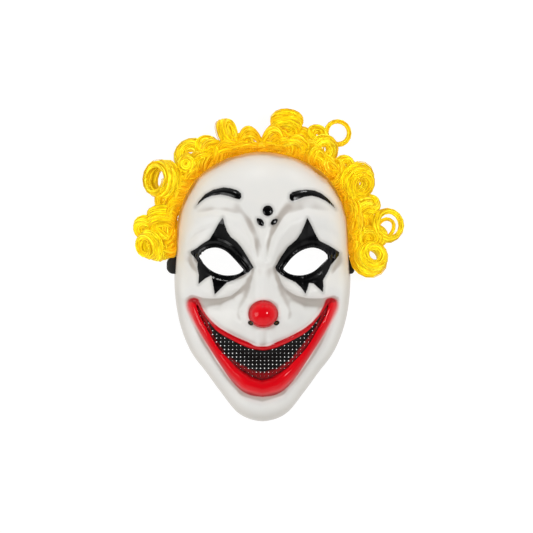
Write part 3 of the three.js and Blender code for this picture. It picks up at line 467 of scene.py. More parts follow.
def about(shape, x, y):
    """Places along and across a tilted shape."""
    cx, cy, _, _, tilt = shape
    turn = math.radians(tilt)
    u = (x - cx) * math.cos(turn) + (y - cy) * math.sin(turn)
    v = -(x - cx) * math.sin(turn) + (y - cy) * math.cos(turn)
    return u, v


def dot_distance(dot, x, y):
    """Distance inside a dot's edge, positive inside; a petal is pointed at both ends."""
    u, v = about(dot, x, y)
    long, wide = dot[2:4]
    if long == wide:
        return long - np.hypot(u, v)
    radius = (long * long + wide * wide) / (2 * wide)
    return radius - np.hypot(u, np.abs(v) + (radius - wide))


def oval_distance(oval, x, y):
    """Distance inside an oval, positive inside."""
    u, v = about(oval, x, y)
    return (1 - np.hypot(u / oval[2], v / oval[3])) * oval[3]


eye_rings = {side: eye_outline(side) for side in eye_holes}
mouth_ring = mouth_outline()
red_ring = mirrored(smooth_line(red_edge, 4))


def from_nose(x, y):
    return np.hypot(x - nose_x, (y - nose_level) * nose_squash)


def black_distance(x, y):
    best = np.full(np.shape(x), -1e3)
    for ring in (*make_up.values(), *brows.values()):
        best = np.maximum(best, inside_distance(ring, x, y))
    for dot in dots:
        best = np.maximum(best, dot_distance(dot, x, y))
    return best


def dome_level(x, y):
    """Height of the plain dome as a share of its rise, and how far out each place lies."""
    share = np.minimum(share_out(x, y), 1)
    upright = np.sin(np.arctan2(y / half_height, x / half_width)) ** 2
    power = side_roundness + (end_roundness - side_roundness) * upright
    return np.clip(1 - share**power, 0, 1) ** (1 / dome_sharpness), share


def broad_height(x, y):
    dome, share = dome_level(x, y)
    fade = smooth_step(1 - share, 0, 0.12)
    relief = sum(fold_rise(scaled(rows), x, y) for rows in forms.values())
    return skirt_height + (crown_height - skirt_height) * dome + relief * fade, fade


def face_height(x, y):
    """Height of the outside of the face."""
    z, fade = broad_height(x, y)
    for middle, stations in fine_forms.values():
        z = z + fold_rise(stations, x, y, middle) * fade
    z = z + lip_rise(lower_lip, lower_lip_width, lower_lip_rise, x, y, 0.62) * fade
    z = z + lip_rise(upper_lip, upper_lip_width, upper_lip_rise, x, y, 0.7) * fade
    for ring in eye_rings.values():
        away = -inside_distance(ring, x, y)
        for rise, middle, width in eye_rims:
            z = z + rise * np.exp(-(((away - middle) / width) ** 2))
    for brow in brows.values():
        z = z + 2.0 * smooth_step(inside_distance(brow, x, y), -0.5, 2.6)
    for dot in dots:
        z = z + 1.6 * smooth_step(dot_distance(dot, x, y), -0.4, 1.8)
    for nostril in nostrils:
        z = z - 2.2 * smooth_step(oval_distance(nostril, x, y), -0.5, 1.3)
    reach = from_nose(x, y)
    ball = nose_ball_height + np.sqrt(np.maximum(nose_ball_radius**2 - reach**2, 0))
    ball = np.where(reach < nose_ball_radius, ball, -1e3)
    return np.maximum(z, ball)


def new_mesh(name, points, faces, values=None):
    """A smooth mesh object of faces that all have as many corners."""
    faces = np.asarray(faces, int)
    mesh = bpy.data.meshes.new(name)
    mesh.vertices.add(len(points))
    mesh.vertices.foreach_set("co", np.ravel(points).astype(float))
    mesh.loops.add(faces.size)
    mesh.loops.foreach_set("vertex_index", faces.ravel())
    mesh.polygons.add(len(faces))
    mesh.polygons.foreach_set("loop_start", np.arange(0, faces.size, faces.shape[1]))
    mesh.update(calc_edges=True)
    mesh.validate()
    mesh.polygons.foreach_set("use_smooth", np.ones(len(mesh.polygons), bool))
    for key, value in (values or {}).items():
        value = np.asarray(value, float)
        kind, field = ("FLOAT", "value") if value.ndim == 1 else ("FLOAT_VECTOR", "vector")
        mesh.attributes.new(key, kind, "POINT").data.foreach_set(field, value.ravel())
    obj = bpy.data.objects.new(name, mesh)
    bpy.context.scene.collection.objects.link(obj)
    return obj


def skin(index):
    """Faces between neighbouring rings of points."""
    a = index[..., :-1, :]
    b = index[..., 1:, :]
    return np.stack([a, b, np.roll(b, -1, -1), np.roll(a, -1, -1)], -1).reshape(-1, 4)


def halves(quads):
    return np.vstack([quads[:, [0, 1, 2]], quads[:, [0, 2, 3]]])


def circle(sides):
    turn = np.arange(sides) / sides * 2 * np.pi
    return np.stack([np.cos(turn), np.sin(turn)], 1)


def joined(parts):
    """Points, faces and further rows of several meshes as those of one."""
    starts = np.cumsum([0] + [len(part[0]) for part in parts])
    parts = [(part[0], part[1] + start, *part[2:]) for part, start in zip(parts, starts)]
    return [np.concatenate(rows) for rows in zip(*parts)]


def nearest_on(ring, x, y):
    a = ring[:, :2]
    b = np.roll(a, -1, 0)
    d = b - a
    p = np.stack([x, y], -1)[:, None, :]
    t = np.clip(((p - a) * d).sum(-1) / ((d * d).sum(-1) + 1e-12), 0, 1)
    q = a + t[..., None] * d
    k = np.argmin(((p - q) ** 2).sum(-1), 1)
    return q[np.arange(len(x)), k]


def cut_hole(plane, faces, ring):
    """Moves points near a closed outline onto it and drops the triangles inside it."""
    margin = 4.0
    lowest = ring.min(0)[:2] - margin
    highest = ring.max(0)[:2] + margin
    near = np.where(((plane > lowest) & (plane < highest)).all(1))[0]
    within = np.full(len(plane), -1e3)
    within[near] = inside_distance(ring, plane[near, 0], plane[near, 1])
    edges = np.sort(np.vstack([faces[:, [0, 1]], faces[:, [1, 2]], faces[:, [2, 0]]]), 1)
    edges = np.unique(edges, axis=0)
    crossing = edges[within[edges[:, 0]] * within[edges[:, 1]] < 0]
    closest = np.abs(within[crossing]).min(1)
    snapped = np.zeros(len(plane), bool)
    for a, b in crossing[np.argsort(closest)]:
        if not snapped[a] and not snapped[b]:
            snapped[a if abs(within[a]) < abs(within[b]) else b] = True
    moved = np.where(snapped)[0]
    plane[moved] = nearest_on(ring, plane[moved, 0], plane[moved, 1])
    within[moved] = 0
    centre = plane[faces].mean(1)
    inner = (within[faces] > 0).any(1)
    flat = (within[faces] == 0).all(1)
    inner[flat] = inside_distance(ring, centre[flat, 0], centre[flat, 1]) > 0
    return faces[~inner]


# The face


def face_grid():
    """Columns of points from the nose to the rim, in the face's plane, and the angle at each column's end."""
    degrees = np.arange(spokes) * 360 / spokes
    ends = outline_point(degrees)
    hub = np.array([0.0, nose_level])
    lengths = np.linalg.norm(ends - hub, axis=1)
    shares = np.linspace(0, 1, 400)
    # The last rows follow the dome's steep side, by its height
    heights = np.arange(0.58, -0.001, -0.02)
    grid = np.zeros((near_rows + middle_rows + len(heights), spokes, 2))
    for k in range(spokes):
        line = hub + shares[:, None] * (ends[k] - hub)
        level, _ = dome_level(line[:, 0], line[:, 1])
        turn = np.argmax(level)
        tail_shares = np.interp(-heights, -level[turn:], shares[turn:])
        near = np.arange(1, near_rows + 1) * near_step / lengths[k]
        middle = np.linspace(near[-1], tail_shares[0], middle_rows + 1)[1:-1]
        column = np.concatenate([near, middle, tail_shares, [1.0]])
        column = np.maximum.accumulate(column)[: len(grid)]
        column[-1] = 1.0
        grid[:, k] = hub + column[:, None] * (ends[k] - hub)
    return degrees, grid


def build_face():
    degrees, grid = face_grid()
    plane = np.vstack([[[0.0, nose_level]], grid.reshape(-1, 2)])
    index = 1 + np.arange(grid[..., 0].size).reshape(-1, spokes)
    fan = np.stack([np.zeros(spokes, int), index[0], np.roll(index[0], -1)], 1)
    faces = np.vstack([fan, halves(skin(index))])
    pierced = [nostril[:2] + pinhole * circle(16) for nostril in nostrils]
    for ring in (*eye_rings.values(), mouth_ring, *pierced):
        faces = cut_hole(plane, faces, ring)
    z = face_height(plane[:, 0], plane[:, 1])
    z = relax(z, plane, faces)
    z[index[-1]] = skirt_height
    # The straight wall below the dome, with the lower slits; the upper ones are cut out of the dome's side
    normals = outline_normal(degrees)
    points = [np.column_stack([plane, z])]
    last = index[-1]
    count = len(plane)
    for level in (6.0, 4.0, 2.0, 0.7, 0.0):
        foot = outline_point(degrees) + normals * rim_flare * (1 - level / skirt_height)
        points.append(np.column_stack([foot, np.full(spokes, level)]))
        ids = count + np.arange(spokes)
        faces = np.vstack([faces, halves(skin(np.array([last, ids])))])
        last = ids
        count += spokes
    points = np.vstack(points)
    middle = points[faces].mean(1)
    away = [np.abs(middle[:, 2] - level) for level in (lower_slit, upper_slit)]
    slit = (np.abs(middle[:, 0]) > 60) & (np.min(away, 0) < 1.0)
    slit &= np.abs(middle[:, 1] - temple_level) < strap_width / 2 + 1
    faces = faces[~slit]
    used, faces = np.unique(faces, return_inverse=True)
    points = points[used]
    faces = faces.reshape(-1, 3)
    x, y, z = points.T
    # Nothing is black low on the steep sides
    black = np.where(z > 16, black_distance(x, y), -20)
    red = inside_distance(red_ring, x, y)
    _, softness = along_stations([tuple(p) for p in red_ring] + [tuple(red_ring[0])], x, y)
    ball = nose_ball_radius + 0.15 - from_nose(x, y)
    soft = np.where(ball > red, 0.5, softness[..., 0])
    red = np.maximum(red, ball)
    edge = share_out(x, y)
    values = {
        "black": black,
        "red": red,
        "soft": soft,
        # Painted light: a warm glow from the hair along the face's upper edge
        "glow": smooth_step(edge, 0.9, 1.0) * smooth_step(y, 8, 34),
        # How deep each place lies in a hollow, which sets the painted shade in the creases
        "hollow_shade": hollow_of(points, faces),
        "lid": np.min([np.abs(inside_distance(ring, x, y)) for ring in eye_rings.values()], 0),
        "nostril": np.max([oval_distance(oval, x, y) for oval in nostrils], 0),
        # Painted shade along the outer edge of the jaw
        "jaw_edge_shade": smooth_step(edge, 0.88, 1.0) * smooth_step(y, 40, -10),
    }
    obj = new_mesh("face", placed(points), faces, values)
    sheet(obj, wall).material_offset = 1
    return obj


def sheet(obj, thickness):
    """Gives a surface its thickness, on the side away from the viewer."""
    thick = obj.modifiers.new("sheet", "SOLIDIFY")
    thick.thickness = thickness * MM
    thick.offset = -1
    return thick


def neighbour_mean(values, faces):
    """The mean of the values at each point's neighbours."""
    total = np.zeros(len(values))
    number = np.zeros(len(values))
    for a, b in ((0, 1), (1, 2), (2, 0)):
        for p, q in ((a, b), (b, a)):
            np.add.at(total, faces[:, p], values[faces[:, q]])
            np.add.at(number, faces[:, p], 1)
    return total / np.maximum(number, 1)


def relax(z, plane, faces):
    """Softens the kinks where folds meet, away from the nose ball and the rim."""
    x, y = plane.T
    free = (from_nose(x, y) > nose_ball_radius + 0.8) * smooth_step(1 - share_out(x, y), 0.02, 0.08)
    for _ in range(2):
        z = z + 0.5 * free * (neighbour_mean(z, faces) - z)
    return z


def hollow_of(points, faces):
    """How deep each point lies in a hollow, in millimetres, from a wide average of its surroundings."""
    smooth = points[:, 2].copy()
    for _ in range(24):
        smooth = neighbour_mean(smooth, faces)
    return smooth - points[:, 2]


# Materials


class Graph:
    """A short way to write a material's nodes."""

    def __init__(self, name):
        self.material = bpy.data.materials.new(name)
        self.material.use_nodes = True
        self.tree = self.material.node_tree
        self.shader = self.tree.nodes["Principled BSDF"]

    def set(self, **sockets):
        for key, value in sockets.items():
            self.plug(self.shader, key.replace("_", " "), value)

    def plug(self, node, socket, value):
        if isinstance(value, bpy.types.NodeSocket):
            self.tree.links.new(value, node.inputs[socket])
        else:
            node.inputs[socket].default_value = value

    def attribute(self, name, output="Fac"):
        node = self.tree.nodes.new("ShaderNodeAttribute")
        node.attribute_name = name
        return node.outputs[output]

    def math(self, kind, a, b=0.0):
        node = self.tree.nodes.new("ShaderNodeMath")
        node.operation = kind
        self.plug(node, 0, a)
        self.plug(node, 1, b)
        return node.outputs[0]

    def times(self, a, b):
        return self.math("MULTIPLY", a, b)

    def plus(self, a, b):
        return self.math("ADD", a, b)

    def ramp(self, value, start, end, first=0.0, last=1.0):
        node = self.tree.nodes.new("ShaderNodeMapRange")
        node.interpolation_type = "SMOOTHSTEP"
        for i, item in enumerate((value, start, end, first, last)):
            self.plug(node, i, item)
        return node.outputs["Result"]

    def mix(self, share, a, b):
        node = self.tree.nodes.new("ShaderNodeMix")
        node.data_type = "RGBA"
        node.clamp_result = True
        self.plug(node, 0, share)
        self.plug(node, 6, a)
        self.plug(node, 7, b)
        return node.outputs[2]

    def noise(self, scale, detail, vector=None):
        node = self.tree.nodes.new("ShaderNodeTexNoise")
        node.inputs["Scale"].default_value = scale
        node.inputs["Detail"].default_value = detail
        vector = vector or self.tree.nodes.new("ShaderNodeTexCoord").outputs["Object"]
        self.tree.links.new(vector, node.inputs["Vector"])
        return node.outputs["Fac"]

    def bump(self, height, strength, distance):
        node = self.tree.nodes.new("ShaderNodeBump")
        node.inputs["Strength"].default_value = strength
        node.inputs["Distance"].default_value = distance
        self.tree.links.new(height, node.inputs["Height"])
        self.tree.links.new(node.outputs["Normal"], self.shader.inputs["Normal"])


def rgb(red, green, blue):
    """An sRGB colour of 0 to 255 as linear light."""
    made = []
    for value in (red, green, blue):
        c = value / 255
        made.append(c / 12.92 if c <= 0.04045 else ((c + 0.055) / 1.055) ** 2.4)
    return (*made, 1.0)


def face_paint():
    g = Graph("painted_face")
    cloud = g.noise(38, 4.0)
    fine = g.noise(420, 2.0)
    edge = g.noise(900, 2.0)
    ragged = g.times(g.math("SUBTRACT", edge, 0.5), 0.5)
    base = g.mix(g.ramp(cloud, 0.35, 0.7), rgb(238, 237, 233), rgb(241, 239, 234))
    # Painted shade: the white is darker in the creases and hollows
    crease_shade = g.ramp(g.attribute("hollow_shade"), 0.1, 1.5)
    base = g.mix(g.times(crease_shade, 0.6), base, rgb(150, 134, 120))
    # Painted shade darkens the jaw's outer edge
    base = g.mix(g.times(g.attribute("jaw_edge_shade"), 0.6), base, rgb(170, 160, 146))
    # Painted light: the upper edge is tinted warm, as if lit from the hair
    rim = g.ramp(g.attribute("glow"), 0.72, 1.0)
    base = g.mix(g.times(rim, 0.3), base, rgb(255, 214, 120))
    red_at = g.plus(g.attribute("red"), g.times(ragged, 0.6))
    red_share = g.ramp(g.math("DIVIDE", red_at, g.attribute("soft")), -1.0, 0.6)
    red = g.mix(g.ramp(cloud, 0.4, 0.75), rgb(230, 0, 18), rgb(218, 0, 16))
    # Painted shade in the creases of the red as well
    red = g.mix(g.times(crease_shade, 0.6), red, rgb(110, 0, 8))
    # Painted shade: the red is darker and duller along its sharp edges
    red_rim_shade = g.math("MINIMUM", g.math("DIVIDE", 0.44, g.attribute("soft")), 0.55)
    red_rim_shade = g.times(g.ramp(g.attribute("red"), 0.4, 4.2, 1.0, 0.0), red_rim_shade)
    red = g.mix(red_rim_shade, red, rgb(132, 0, 12))
    base = g.mix(red_share, base, red)
    blush = g.times(g.ramp(g.attribute("red"), -4.0, 0.0), 0.16)
    base = g.mix(blush, base, rgb(250, 40, 50))
    black_at = g.plus(g.attribute("black"), ragged)
    halo = g.times(g.ramp(g.attribute("black"), -3.4, 0.2), 0.3)
    base = g.mix(halo, base, rgb(60, 56, 54))
    lid_share = g.ramp(g.attribute("lid"), 1.9, 1.3)
    black_share = g.math("MAXIMUM", g.ramp(black_at, -0.3, 0.35), lid_share)
    black_share = g.math("MAXIMUM", black_share, g.ramp(g.attribute("nostril"), -0.25, 0.2))
    base = g.mix(black_share, base, rgb(4, 4, 5))
    base = g.mix(g.ramp(g.attribute("nostril"), 0.7, 1.3), base, rgb(104, 78, 40))
    g.set(Base_Color=base)
    painted = g.math("MAXIMUM", black_share, red_share)
    rough = g.plus(g.times(fine, 0.06), g.ramp(painted, 0.0, 1.0, 0.3, 0.07))
    rough = g.plus(rough, g.times(black_share, 0.07))
    rough = g.plus(rough, g.times(g.times(red_rim_shade, red_share), 0.12))
    # Painted light: the upper edge glows warm, though it is no lamp
    g.set(Roughness=rough, Specular_IOR_Level=0.26, Emission_Color=(1.0, 0.8, 0.3, 1))
    g.set(Emission_Strength=g.times(g.ramp(g.attribute("glow"), 0.86, 1.0), 0.12))
    height = g.plus(g.times(g.noise(160, 3.0), 0.7), g.times(fine, 0.3))
    height = g.plus(height, g.times(black_share, 0.35))
    g.bump(height, 0.08, 0.0006)
    return g.material


def bare_plastic():
    g = Graph("bare_plastic")
    cloud = g.noise(60, 3.0)
    g.set(Base_Color=g.mix(cloud, rgb(226, 223, 216), rgb(236, 233, 227)), Roughness=0.5)
    g.bump(g.noise(300, 3.0), 0.3, 0.0005)
    return g.material


def net_plastic():
    g = Graph("net_plastic")
    tint = g.ramp(g.plus(g.attribute("tint"), g.times(g.noise(500, 3.0), 1.2)), -1.2, 2.2)
    corner = g.attribute("corner")
    red = g.mix(g.noise(300, 3.0), rgb(132, 4, 12), rgb(178, 8, 20))
    red = g.mix(corner, red, rgb(190, 10, 24))
    base = g.mix(g.times(tint, 0.92), rgb(7, 7, 7), red)
    # Painted shade where the net meets the back of the lips
    base = g.mix(g.times(g.attribute("groove"), 0.85), base, rgb(38, 0, 4))
    g.set(Base_Color=base, Roughness=g.plus(g.times(g.noise(700, 2.0), 0.2), 0.42), Specular_IOR_Level=0.2)
    g.bump(g.noise(900, 2.0), 0.2, 0.0003)
    return g.material


def hair_fibre(name, lit_tones, deep, deepest_shade):
    g = Graph(name)
    tone = g.attribute("tone")
    hair_shade_depth = g.attribute("hair_shade_depth")
    place = g.attribute("fibre", "Vector")
    broad = g.noise(0.55, 2.0, place)
    fine = g.noise(1.7, 2.0, place)
    # Painted light and shade: strands high in their lock are lighter, those lower down darker
    painted_top_light = g.ramp(g.attribute("lift"), -0.45, 0.5)
    base = g.mix(tone, lit_tones[0], lit_tones[1])
    # Broad patches darker: partly tone that differs at random, partly painted shade that breaks up the light
    # along the locks
    base = g.mix(g.times(g.ramp(broad, 0.42, 0.57), 0.75), base, deep)
    # Painted shade in fine streaks, in the gaps between strands
    strand_gap_shade = g.ramp(fine, 0.45, 0.58)
    base = g.mix(g.times(strand_gap_shade, 0.66), base, deep)
    base = g.mix(g.ramp(painted_top_light, 0.0, 1.0, 0.6, 0.0), base, deep)
    # Painted shade, deepest next to the face, low down and in the waves
    inner = g.times(hair_shade_depth, 0.7)
    base = g.mix(inner, base, deepest_shade)
    # Painted light: the hair glows, most on the tops of its locks away from the painted shade, though it is
    # no lamp
    glint = g.times(painted_top_light, g.math("SUBTRACT", 1.0, g.math("MAXIMUM", strand_gap_shade, inner)))
    g.set(Base_Color=base, Roughness=0.25, Metallic=0.26, Anisotropic=0.7)
    g.set(Specular_IOR_Level=1.0, Specular_Tint=(1.0, 0.95, 0.12, 1))
    g.set(Emission_Color=(0.86, 0.74, 0.01, 1), Emission_Strength=g.ramp(glint, 0.0, 1.0, 0.15, 0.6))
    g.tree.links.new(g.attribute("along", "Vector"), g.shader.inputs["Tangent"])
    g.bump(g.plus(g.times(broad, 0.7), g.times(fine, 0.6)), 0.8, 0.0008)
    return g.material


def elastic():
    g = Graph("woven_elastic")
    coordinates = g.tree.nodes.new("ShaderNodeUVMap")
    split = g.tree.nodes.new("ShaderNodeSeparateXYZ")
    g.tree.links.new(coordinates.outputs["UV"], split.inputs[0])
    across = g.math("SINE", g.times(split.outputs[1], 2 * math.pi * 18))
    along = g.math("SINE", g.times(split.outputs[0], 2 * math.pi * 0.9))
    weave = g.times(across, along)
    height = g.plus(g.times(across, 0.6), g.times(weave, 0.4))
    # The colour follows the weave's height: painted shade in its grooves, lighter on its ribs
    base = g.mix(g.ramp(height, -0.8, 0.9), rgb(5, 5, 6), rgb(18, 17, 19))
    g.set(Base_Color=base, Roughness=0.72, Sheen_Weight=0.1)
    g.bump(height, 0.6, 0.0004)
    return g.material


# The mouth net


def build_net():
    """A thin sheet behind the mouth, pierced by rows of round holes."""
    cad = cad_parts["mouth_net"]
    points = np.array([v.co[:] for v in cad.data.vertices]) / MM
    points -= np.array([middle_x, middle_y, 0]) / MM
    # The sheet's height is fitted to the solid: a smooth curve across and a straight fall towards the chin
    terms = lambda x, y: np.stack([np.ones_like(x), y, x**2, x**4, x**2 * y], -1)
    scale = np.array([1, 50.0, 50.0**2, 50.0**4, 50.0**3])
    upper = points[points[:, 2] > np.median(points[:, 2]) - 30]
    fit, *_ = np.linalg.lstsq(terms(upper[:, 0], upper[:, 1]) / scale, upper[:, 2], rcond=None)
    level = lambda x, y: terms(x, y) / scale @ fit
    quads = []
    sides = 8
    ring = circle(sides)
    border = ring / np.abs(ring).max(1, keepdims=True) * 0.5 * net_pitch
    columns, rows = np.meshgrid(np.arange(-18, 18) + 0.5, np.arange(-17, 11))
    cells = net_middle + np.stack([columns.ravel(), -rows.ravel()], 1) * net_pitch
    room = inside_distance(mouth_ring, *cells.T)
    cells = cells[room > -net_margin]
    room = room[room > -net_margin]
    limit = np.array(black_limit)
    painted = np.interp(cells[:, 0], limit[:, 0], limit[:, 1]) > cells[:, 1] + 0.8
    points = []
    for k, (cx, cy) in enumerate(cells):
        start = len(points)
        size = net_hole * (0.5 if painted[k] else 1)
        hole = ring * (size if room[k] > 0.6 else 0.001)
        points += [(cx + x, cy + y) for x, y in (*hole, *border)]
        for j in range(sides):
            n = (j + 1) % sides
            quads.append((start + j, start + sides + j, start + sides + n, start + n))
    points = np.array(points)
    _, first, inverse = np.unique(np.round(points, 3), axis=0, return_index=True, return_inverse=True)
    points = points[first]
    quads = inverse.reshape(-1)[np.array(quads)]
    # Its edge is held up against the back of the lips, and the middle sags between them
    lips = face_height(mouth_ring[:, 0], mouth_ring[:, 1]) - 2.3
    away = np.hypot(points[:, None, 0] - mouth_ring[:, 0], points[:, None, 1] - mouth_ring[:, 1])
    weight = 1 / (away + 0.3) ** 3
    held = (weight * lips).sum(1) / weight.sum(1)
    flat = level(points[:, 0], points[:, 1])
    inner = inside_distance(mouth_ring, *points.T)
    held = held - 0.45 * (held - flat) * smooth_step(inner, 0.5, 11)
    under = face_height(points[:, 0], points[:, 1]) - 2.4
    z = np.where(inner < 0, np.minimum(held - 0.5 * inner, under), held)
    tint = np.interp(points[:, 0], limit[:, 0], limit[:, 1]) - points[:, 1]
    corner = smooth_step(np.abs(points[:, 0]), 40, 56)
    # groove marks the net's edge next to the lips, for its painted shade
    values = {"tint": tint, "corner": corner, "groove": smooth_step(inner, 1.6, -0.4)}
    obj = new_mesh("net", placed(np.column_stack([points, z])), quads, values)
    sheet(obj, 0.8)
    obj.data.materials.append(net_plastic())
    return obj


# Hair


def beside_outline(degrees, out, height):
    p = outline_point(degrees) + outline_normal(degrees) * np.asarray(out)[..., None]
    return np.concatenate([p, np.broadcast_to(np.asarray(height, float)[..., None], p.shape[:-1] + (1,))], -1)


def ringlet_way(row):
    """The middle line of a coiled lock, the ways across and along its band, and the band's half sizes."""
    lean = math.radians(row["lean"])
    swing = math.radians(row["swing"])
    axis = np.array([math.sin(lean) * math.cos(swing), math.sin(lean) * math.sin(swing), math.cos(lean)])
    thick = row["thick"] * lock_radius
    radius = row["coil"] * curl_radius
    long = row["long"] * lock_radius
    below = (radius + thick) * math.sin(lean) + long * math.cos(lean)
    centre = beside_outline(row["at"], row["out"] * hair_reach, max(row["up"] * hair_loft, below + hair_gap))
    weft_middle = weft_bottom + weft_height / 2
    root = beside_outline(row["root"], hair_gap + weft_thickness, weft_middle)
    start = root - centre
    start = unit(start - axis * (start @ axis))
    side = np.cross(axis, start)
    band = min(long, max(1.15 * long / row["turns"], 2.6))
    travel = max(long - band, 0.0)
    stem = 9
    t = np.linspace(0, 1, 6 + int(13 * row["turns"]))
    turn = t * row["turns"] * 2 * math.pi
    shrink = 1 + (row["close"] - 1) * t
    outward = unit(np.cos(turn)[:, None] * start + np.sin(turn)[:, None] * side)
    coil = centre + (radius * shrink)[:, None] * outward - ((1 - 2 * t) * travel)[:, None] * axis
    s = np.linspace(0, 1, stem, endpoint=False)[:, None]
    first = coil[0]
    lead = unit(coil[1] - coil[0]) * np.linalg.norm(first - root) * 0.7
    rise = beside_outline(row["root"], hair_gap + weft_thickness + 9, weft_middle + 5) - root
    bend = 3 * (1 - s) ** 2 * s * (root + rise) + 3 * (1 - s) * s**2 * (first - lead)
    way = np.vstack([(1 - s) ** 3 * root + bend + s**3 * first, coil])
    across = np.vstack([np.tile(outward[0], (stem, 1)), outward])
    upward = np.tile(axis, (len(way), 1))
    swell = np.concatenate([np.linspace(0.5, 1, stem), 1 - 0.5 * smooth_step(t, 0.72, 1.0)])
    barrel = smooth_step(np.array(row["lean"]), 45, 70)
    half_thick = thick * (0.92 - 0.34 * barrel)
    half_wide = max(band * (0.8 + 0.3 * barrel), thick * 0.7)
    return way, across, upward, half_thick * swell, half_wide * swell


def wave_way(row):
    """The middle line of a lock that lies along the edge, leaving the weft and coming back to it."""
    t = np.linspace(0, 1, 8 + int(abs(row["end"] - row["start"]) * 0.4))
    arch = np.sin(t * np.pi)
    thick = row["thick"] * lock_radius
    sweep = row.get("sweep", 0.0) * smooth_step(t, 0.25, 1.0)
    out = (hair_gap + weft_thickness / 2) * (1 - arch) + (hair_gap + thick + row["out"] * hair_reach) * arch
    height = (weft_bottom + weft_height / 2) * (1 - arch) + row["up"] * hair_loft * arch
    degrees = row["start"] + (row["end"] - row["start"]) * t
    way = beside_outline(degrees, out + sweep, height + 0.6 * sweep)
    across = np.column_stack([outline_normal(degrees), np.zeros(len(t))])
    upward = np.tile([0.0, 0.0, 1.0], (len(t), 1))
    swell = 0.5 + 0.5 * arch
    return way, across, upward, thick * swell, thick * swell


def tubes(ways, radii, sides):
    """Points and faces of many tubes at once, then each point's place in the fibres and its tube's way."""
    count, steps = ways.shape[:2]
    along = unit(np.gradient(ways, axis=1))
    helper = np.where(np.abs(along[:, :1, 2:3]) < 0.8, [0.0, 0.0, 1.0], [1.0, 0.0, 0.0])
    normal = unit(np.cross(along[:, 0], helper[:, 0]))
    normals = [normal]
    for i in range(1, steps):
        normal = unit(normal - along[:, i] * (normal * along[:, i]).sum(-1, keepdims=True))
        normals.append(normal)
    normals = np.stack(normals, 1)
    binormals = np.cross(along, normals)
    cosine, sine = circle(sides).T
    ring = normals[:, :, None] * cosine[:, None] + binormals[:, :, None] * sine[:, None]
    points = ways[:, :, None] + ring * radii[:, :, None, None]
    faces = skin(np.arange(count * steps * sides).reshape(count, steps, sides))[:, [0, 3, 2, 1]]
    run = np.cumsum(np.linalg.norm(np.diff(ways, axis=1, prepend=ways[:, :1]), axis=2), 1)
    fibre = np.zeros((count, steps, sides, 3))
    fibre[..., 0] = cosine * radii[..., None] + np.arange(count)[:, None, None] * 7.3
    fibre[..., 1] = sine * radii[..., None]
    # The streaks run along the fibres, so this way counts for little
    fibre[..., 2] = run[..., None] * 0.06
    direction = np.broadcast_to(along[:, :, None], fibre.shape)
    return points.reshape(-1, 3), faces, fibre.reshape(-1, 3), direction.reshape(-1, 3)


def strands(course, count, size, random, inner, outer, wander):
    """Strands that fill the band of a lock, each with its own offset that drifts along the way."""
    way, across, upward, half_thick, half_wide = course
    t = np.linspace(0, 1, len(way))
    angle = np.arange(count) * 2.4 + random.uniform(0, 0.8, count)
    reach = np.sqrt(np.linspace(inner**2, outer**2, count))
    drift = random.uniform(-1, 1, (count, 3))
    phase = random.uniform(0, 2 * np.pi, (count, 2))
    turned = angle[:, None] + drift[:, :1] * t * 1.3
    u = np.cos(turned) * reach[:, None] + wander * np.sin(t * 9 + phase[:, :1]) * drift[:, 1:2]
    v = np.sin(turned) * reach[:, None] + wander * np.sin(t * 7 + phase[:, 1:]) * drift[:, 2:3]
    made = way + (u * half_thick)[..., None] * across + (v * half_wide)[..., None] * upward
    taper = np.minimum(1, (1 - t) * 7 + 0.2)
    swell = half_thick / half_thick.max()
    radii = size * random.uniform(0.8, 1.2, count)[:, None] * taper * (0.35 + 0.65 * swell)
    # How high each strand lies in its lock, which sets its painted light and shade
    lift = (made - way)[..., 2] / np.maximum(half_thick, half_wide)
    return made, radii, lift


def keep_clear(points):
    """Moves hair points out of the face and off the floor."""
    x, y, z = points[..., 0], points[..., 1], points[..., 2]
    share = share_out(x, y)
    limit = 1 + (rim_flare * np.clip(1 - z / skirt_height, 0, 1) + 0.25) / np.hypot(x, y)
    push = np.where(share < limit, limit / np.maximum(share, 1e-3), 1.0)
    return np.stack([x * push, y * push, np.maximum(z, 0.5)], -1)


def span_ends(at, span):
    """The two angles of a small wave, kept within the weft."""
    return dict(start=np.clip(at - span, 13, 168), end=np.clip(at + span, 13, 168))


def spare_curls(random, start, end):
    """Small curls and waves between the large ones, which close the gaps of the mass."""
    curls = []
    spans = []
    for at in np.arange(start + 2, end - 1, 6.5):
        at += random.uniform(-1.5, 1.5)
        room = np.interp(at, *zip(*mass))
        coil = min(random.uniform(0.55, 0.95), (room - 2) / 26)
        thick = random.uniform(0.75, 0.95)
        curls.append(dict(
            at=at,
            out=max(room - coil * curl_radius - thick * lock_radius - random.uniform(0, 8), 3) / hair_reach,
            up=random.uniform(0.3, 0.8),
            coil=coil,
            long=random.uniform(1.6, 2.6),
            thick=thick,
            lean=random.uniform(40, 80),
            swing=random.uniform(0, 360),
            root=at + random.uniform(-6, 6),
            turns=random.uniform(1.5, 2.4),
            close=random.uniform(0.35, 0.7),
        ))
    for at in np.arange(start, end, 1.5):
        room = np.interp(at, *zip(*mass))
        span = random.uniform(6, 13) * random.choice([-1, 1])
        spans.append(dict(
            span_ends(at, span),
            out=random.uniform(0.1, 0.95) * (room - 5) / hair_reach,
            up=random.uniform(0.35, 0.95),
            thick=random.uniform(0.45, 0.8),
        ))
    for at in np.arange(start, end, 1.8):
        room = np.interp(at, *zip(*mass))
        span = random.uniform(5, 9) * random.choice([-1, 1])
        spans.append(dict(
            span_ends(at, span),
            out=random.uniform(-0.06, -0.02),
            up=random.uniform(0.25, 0.8),
            thick=random.uniform(0.35, 0.6),
            sweep=random.uniform(0.3, 0.9) * (room - 4),
        ))
    return curls, spans


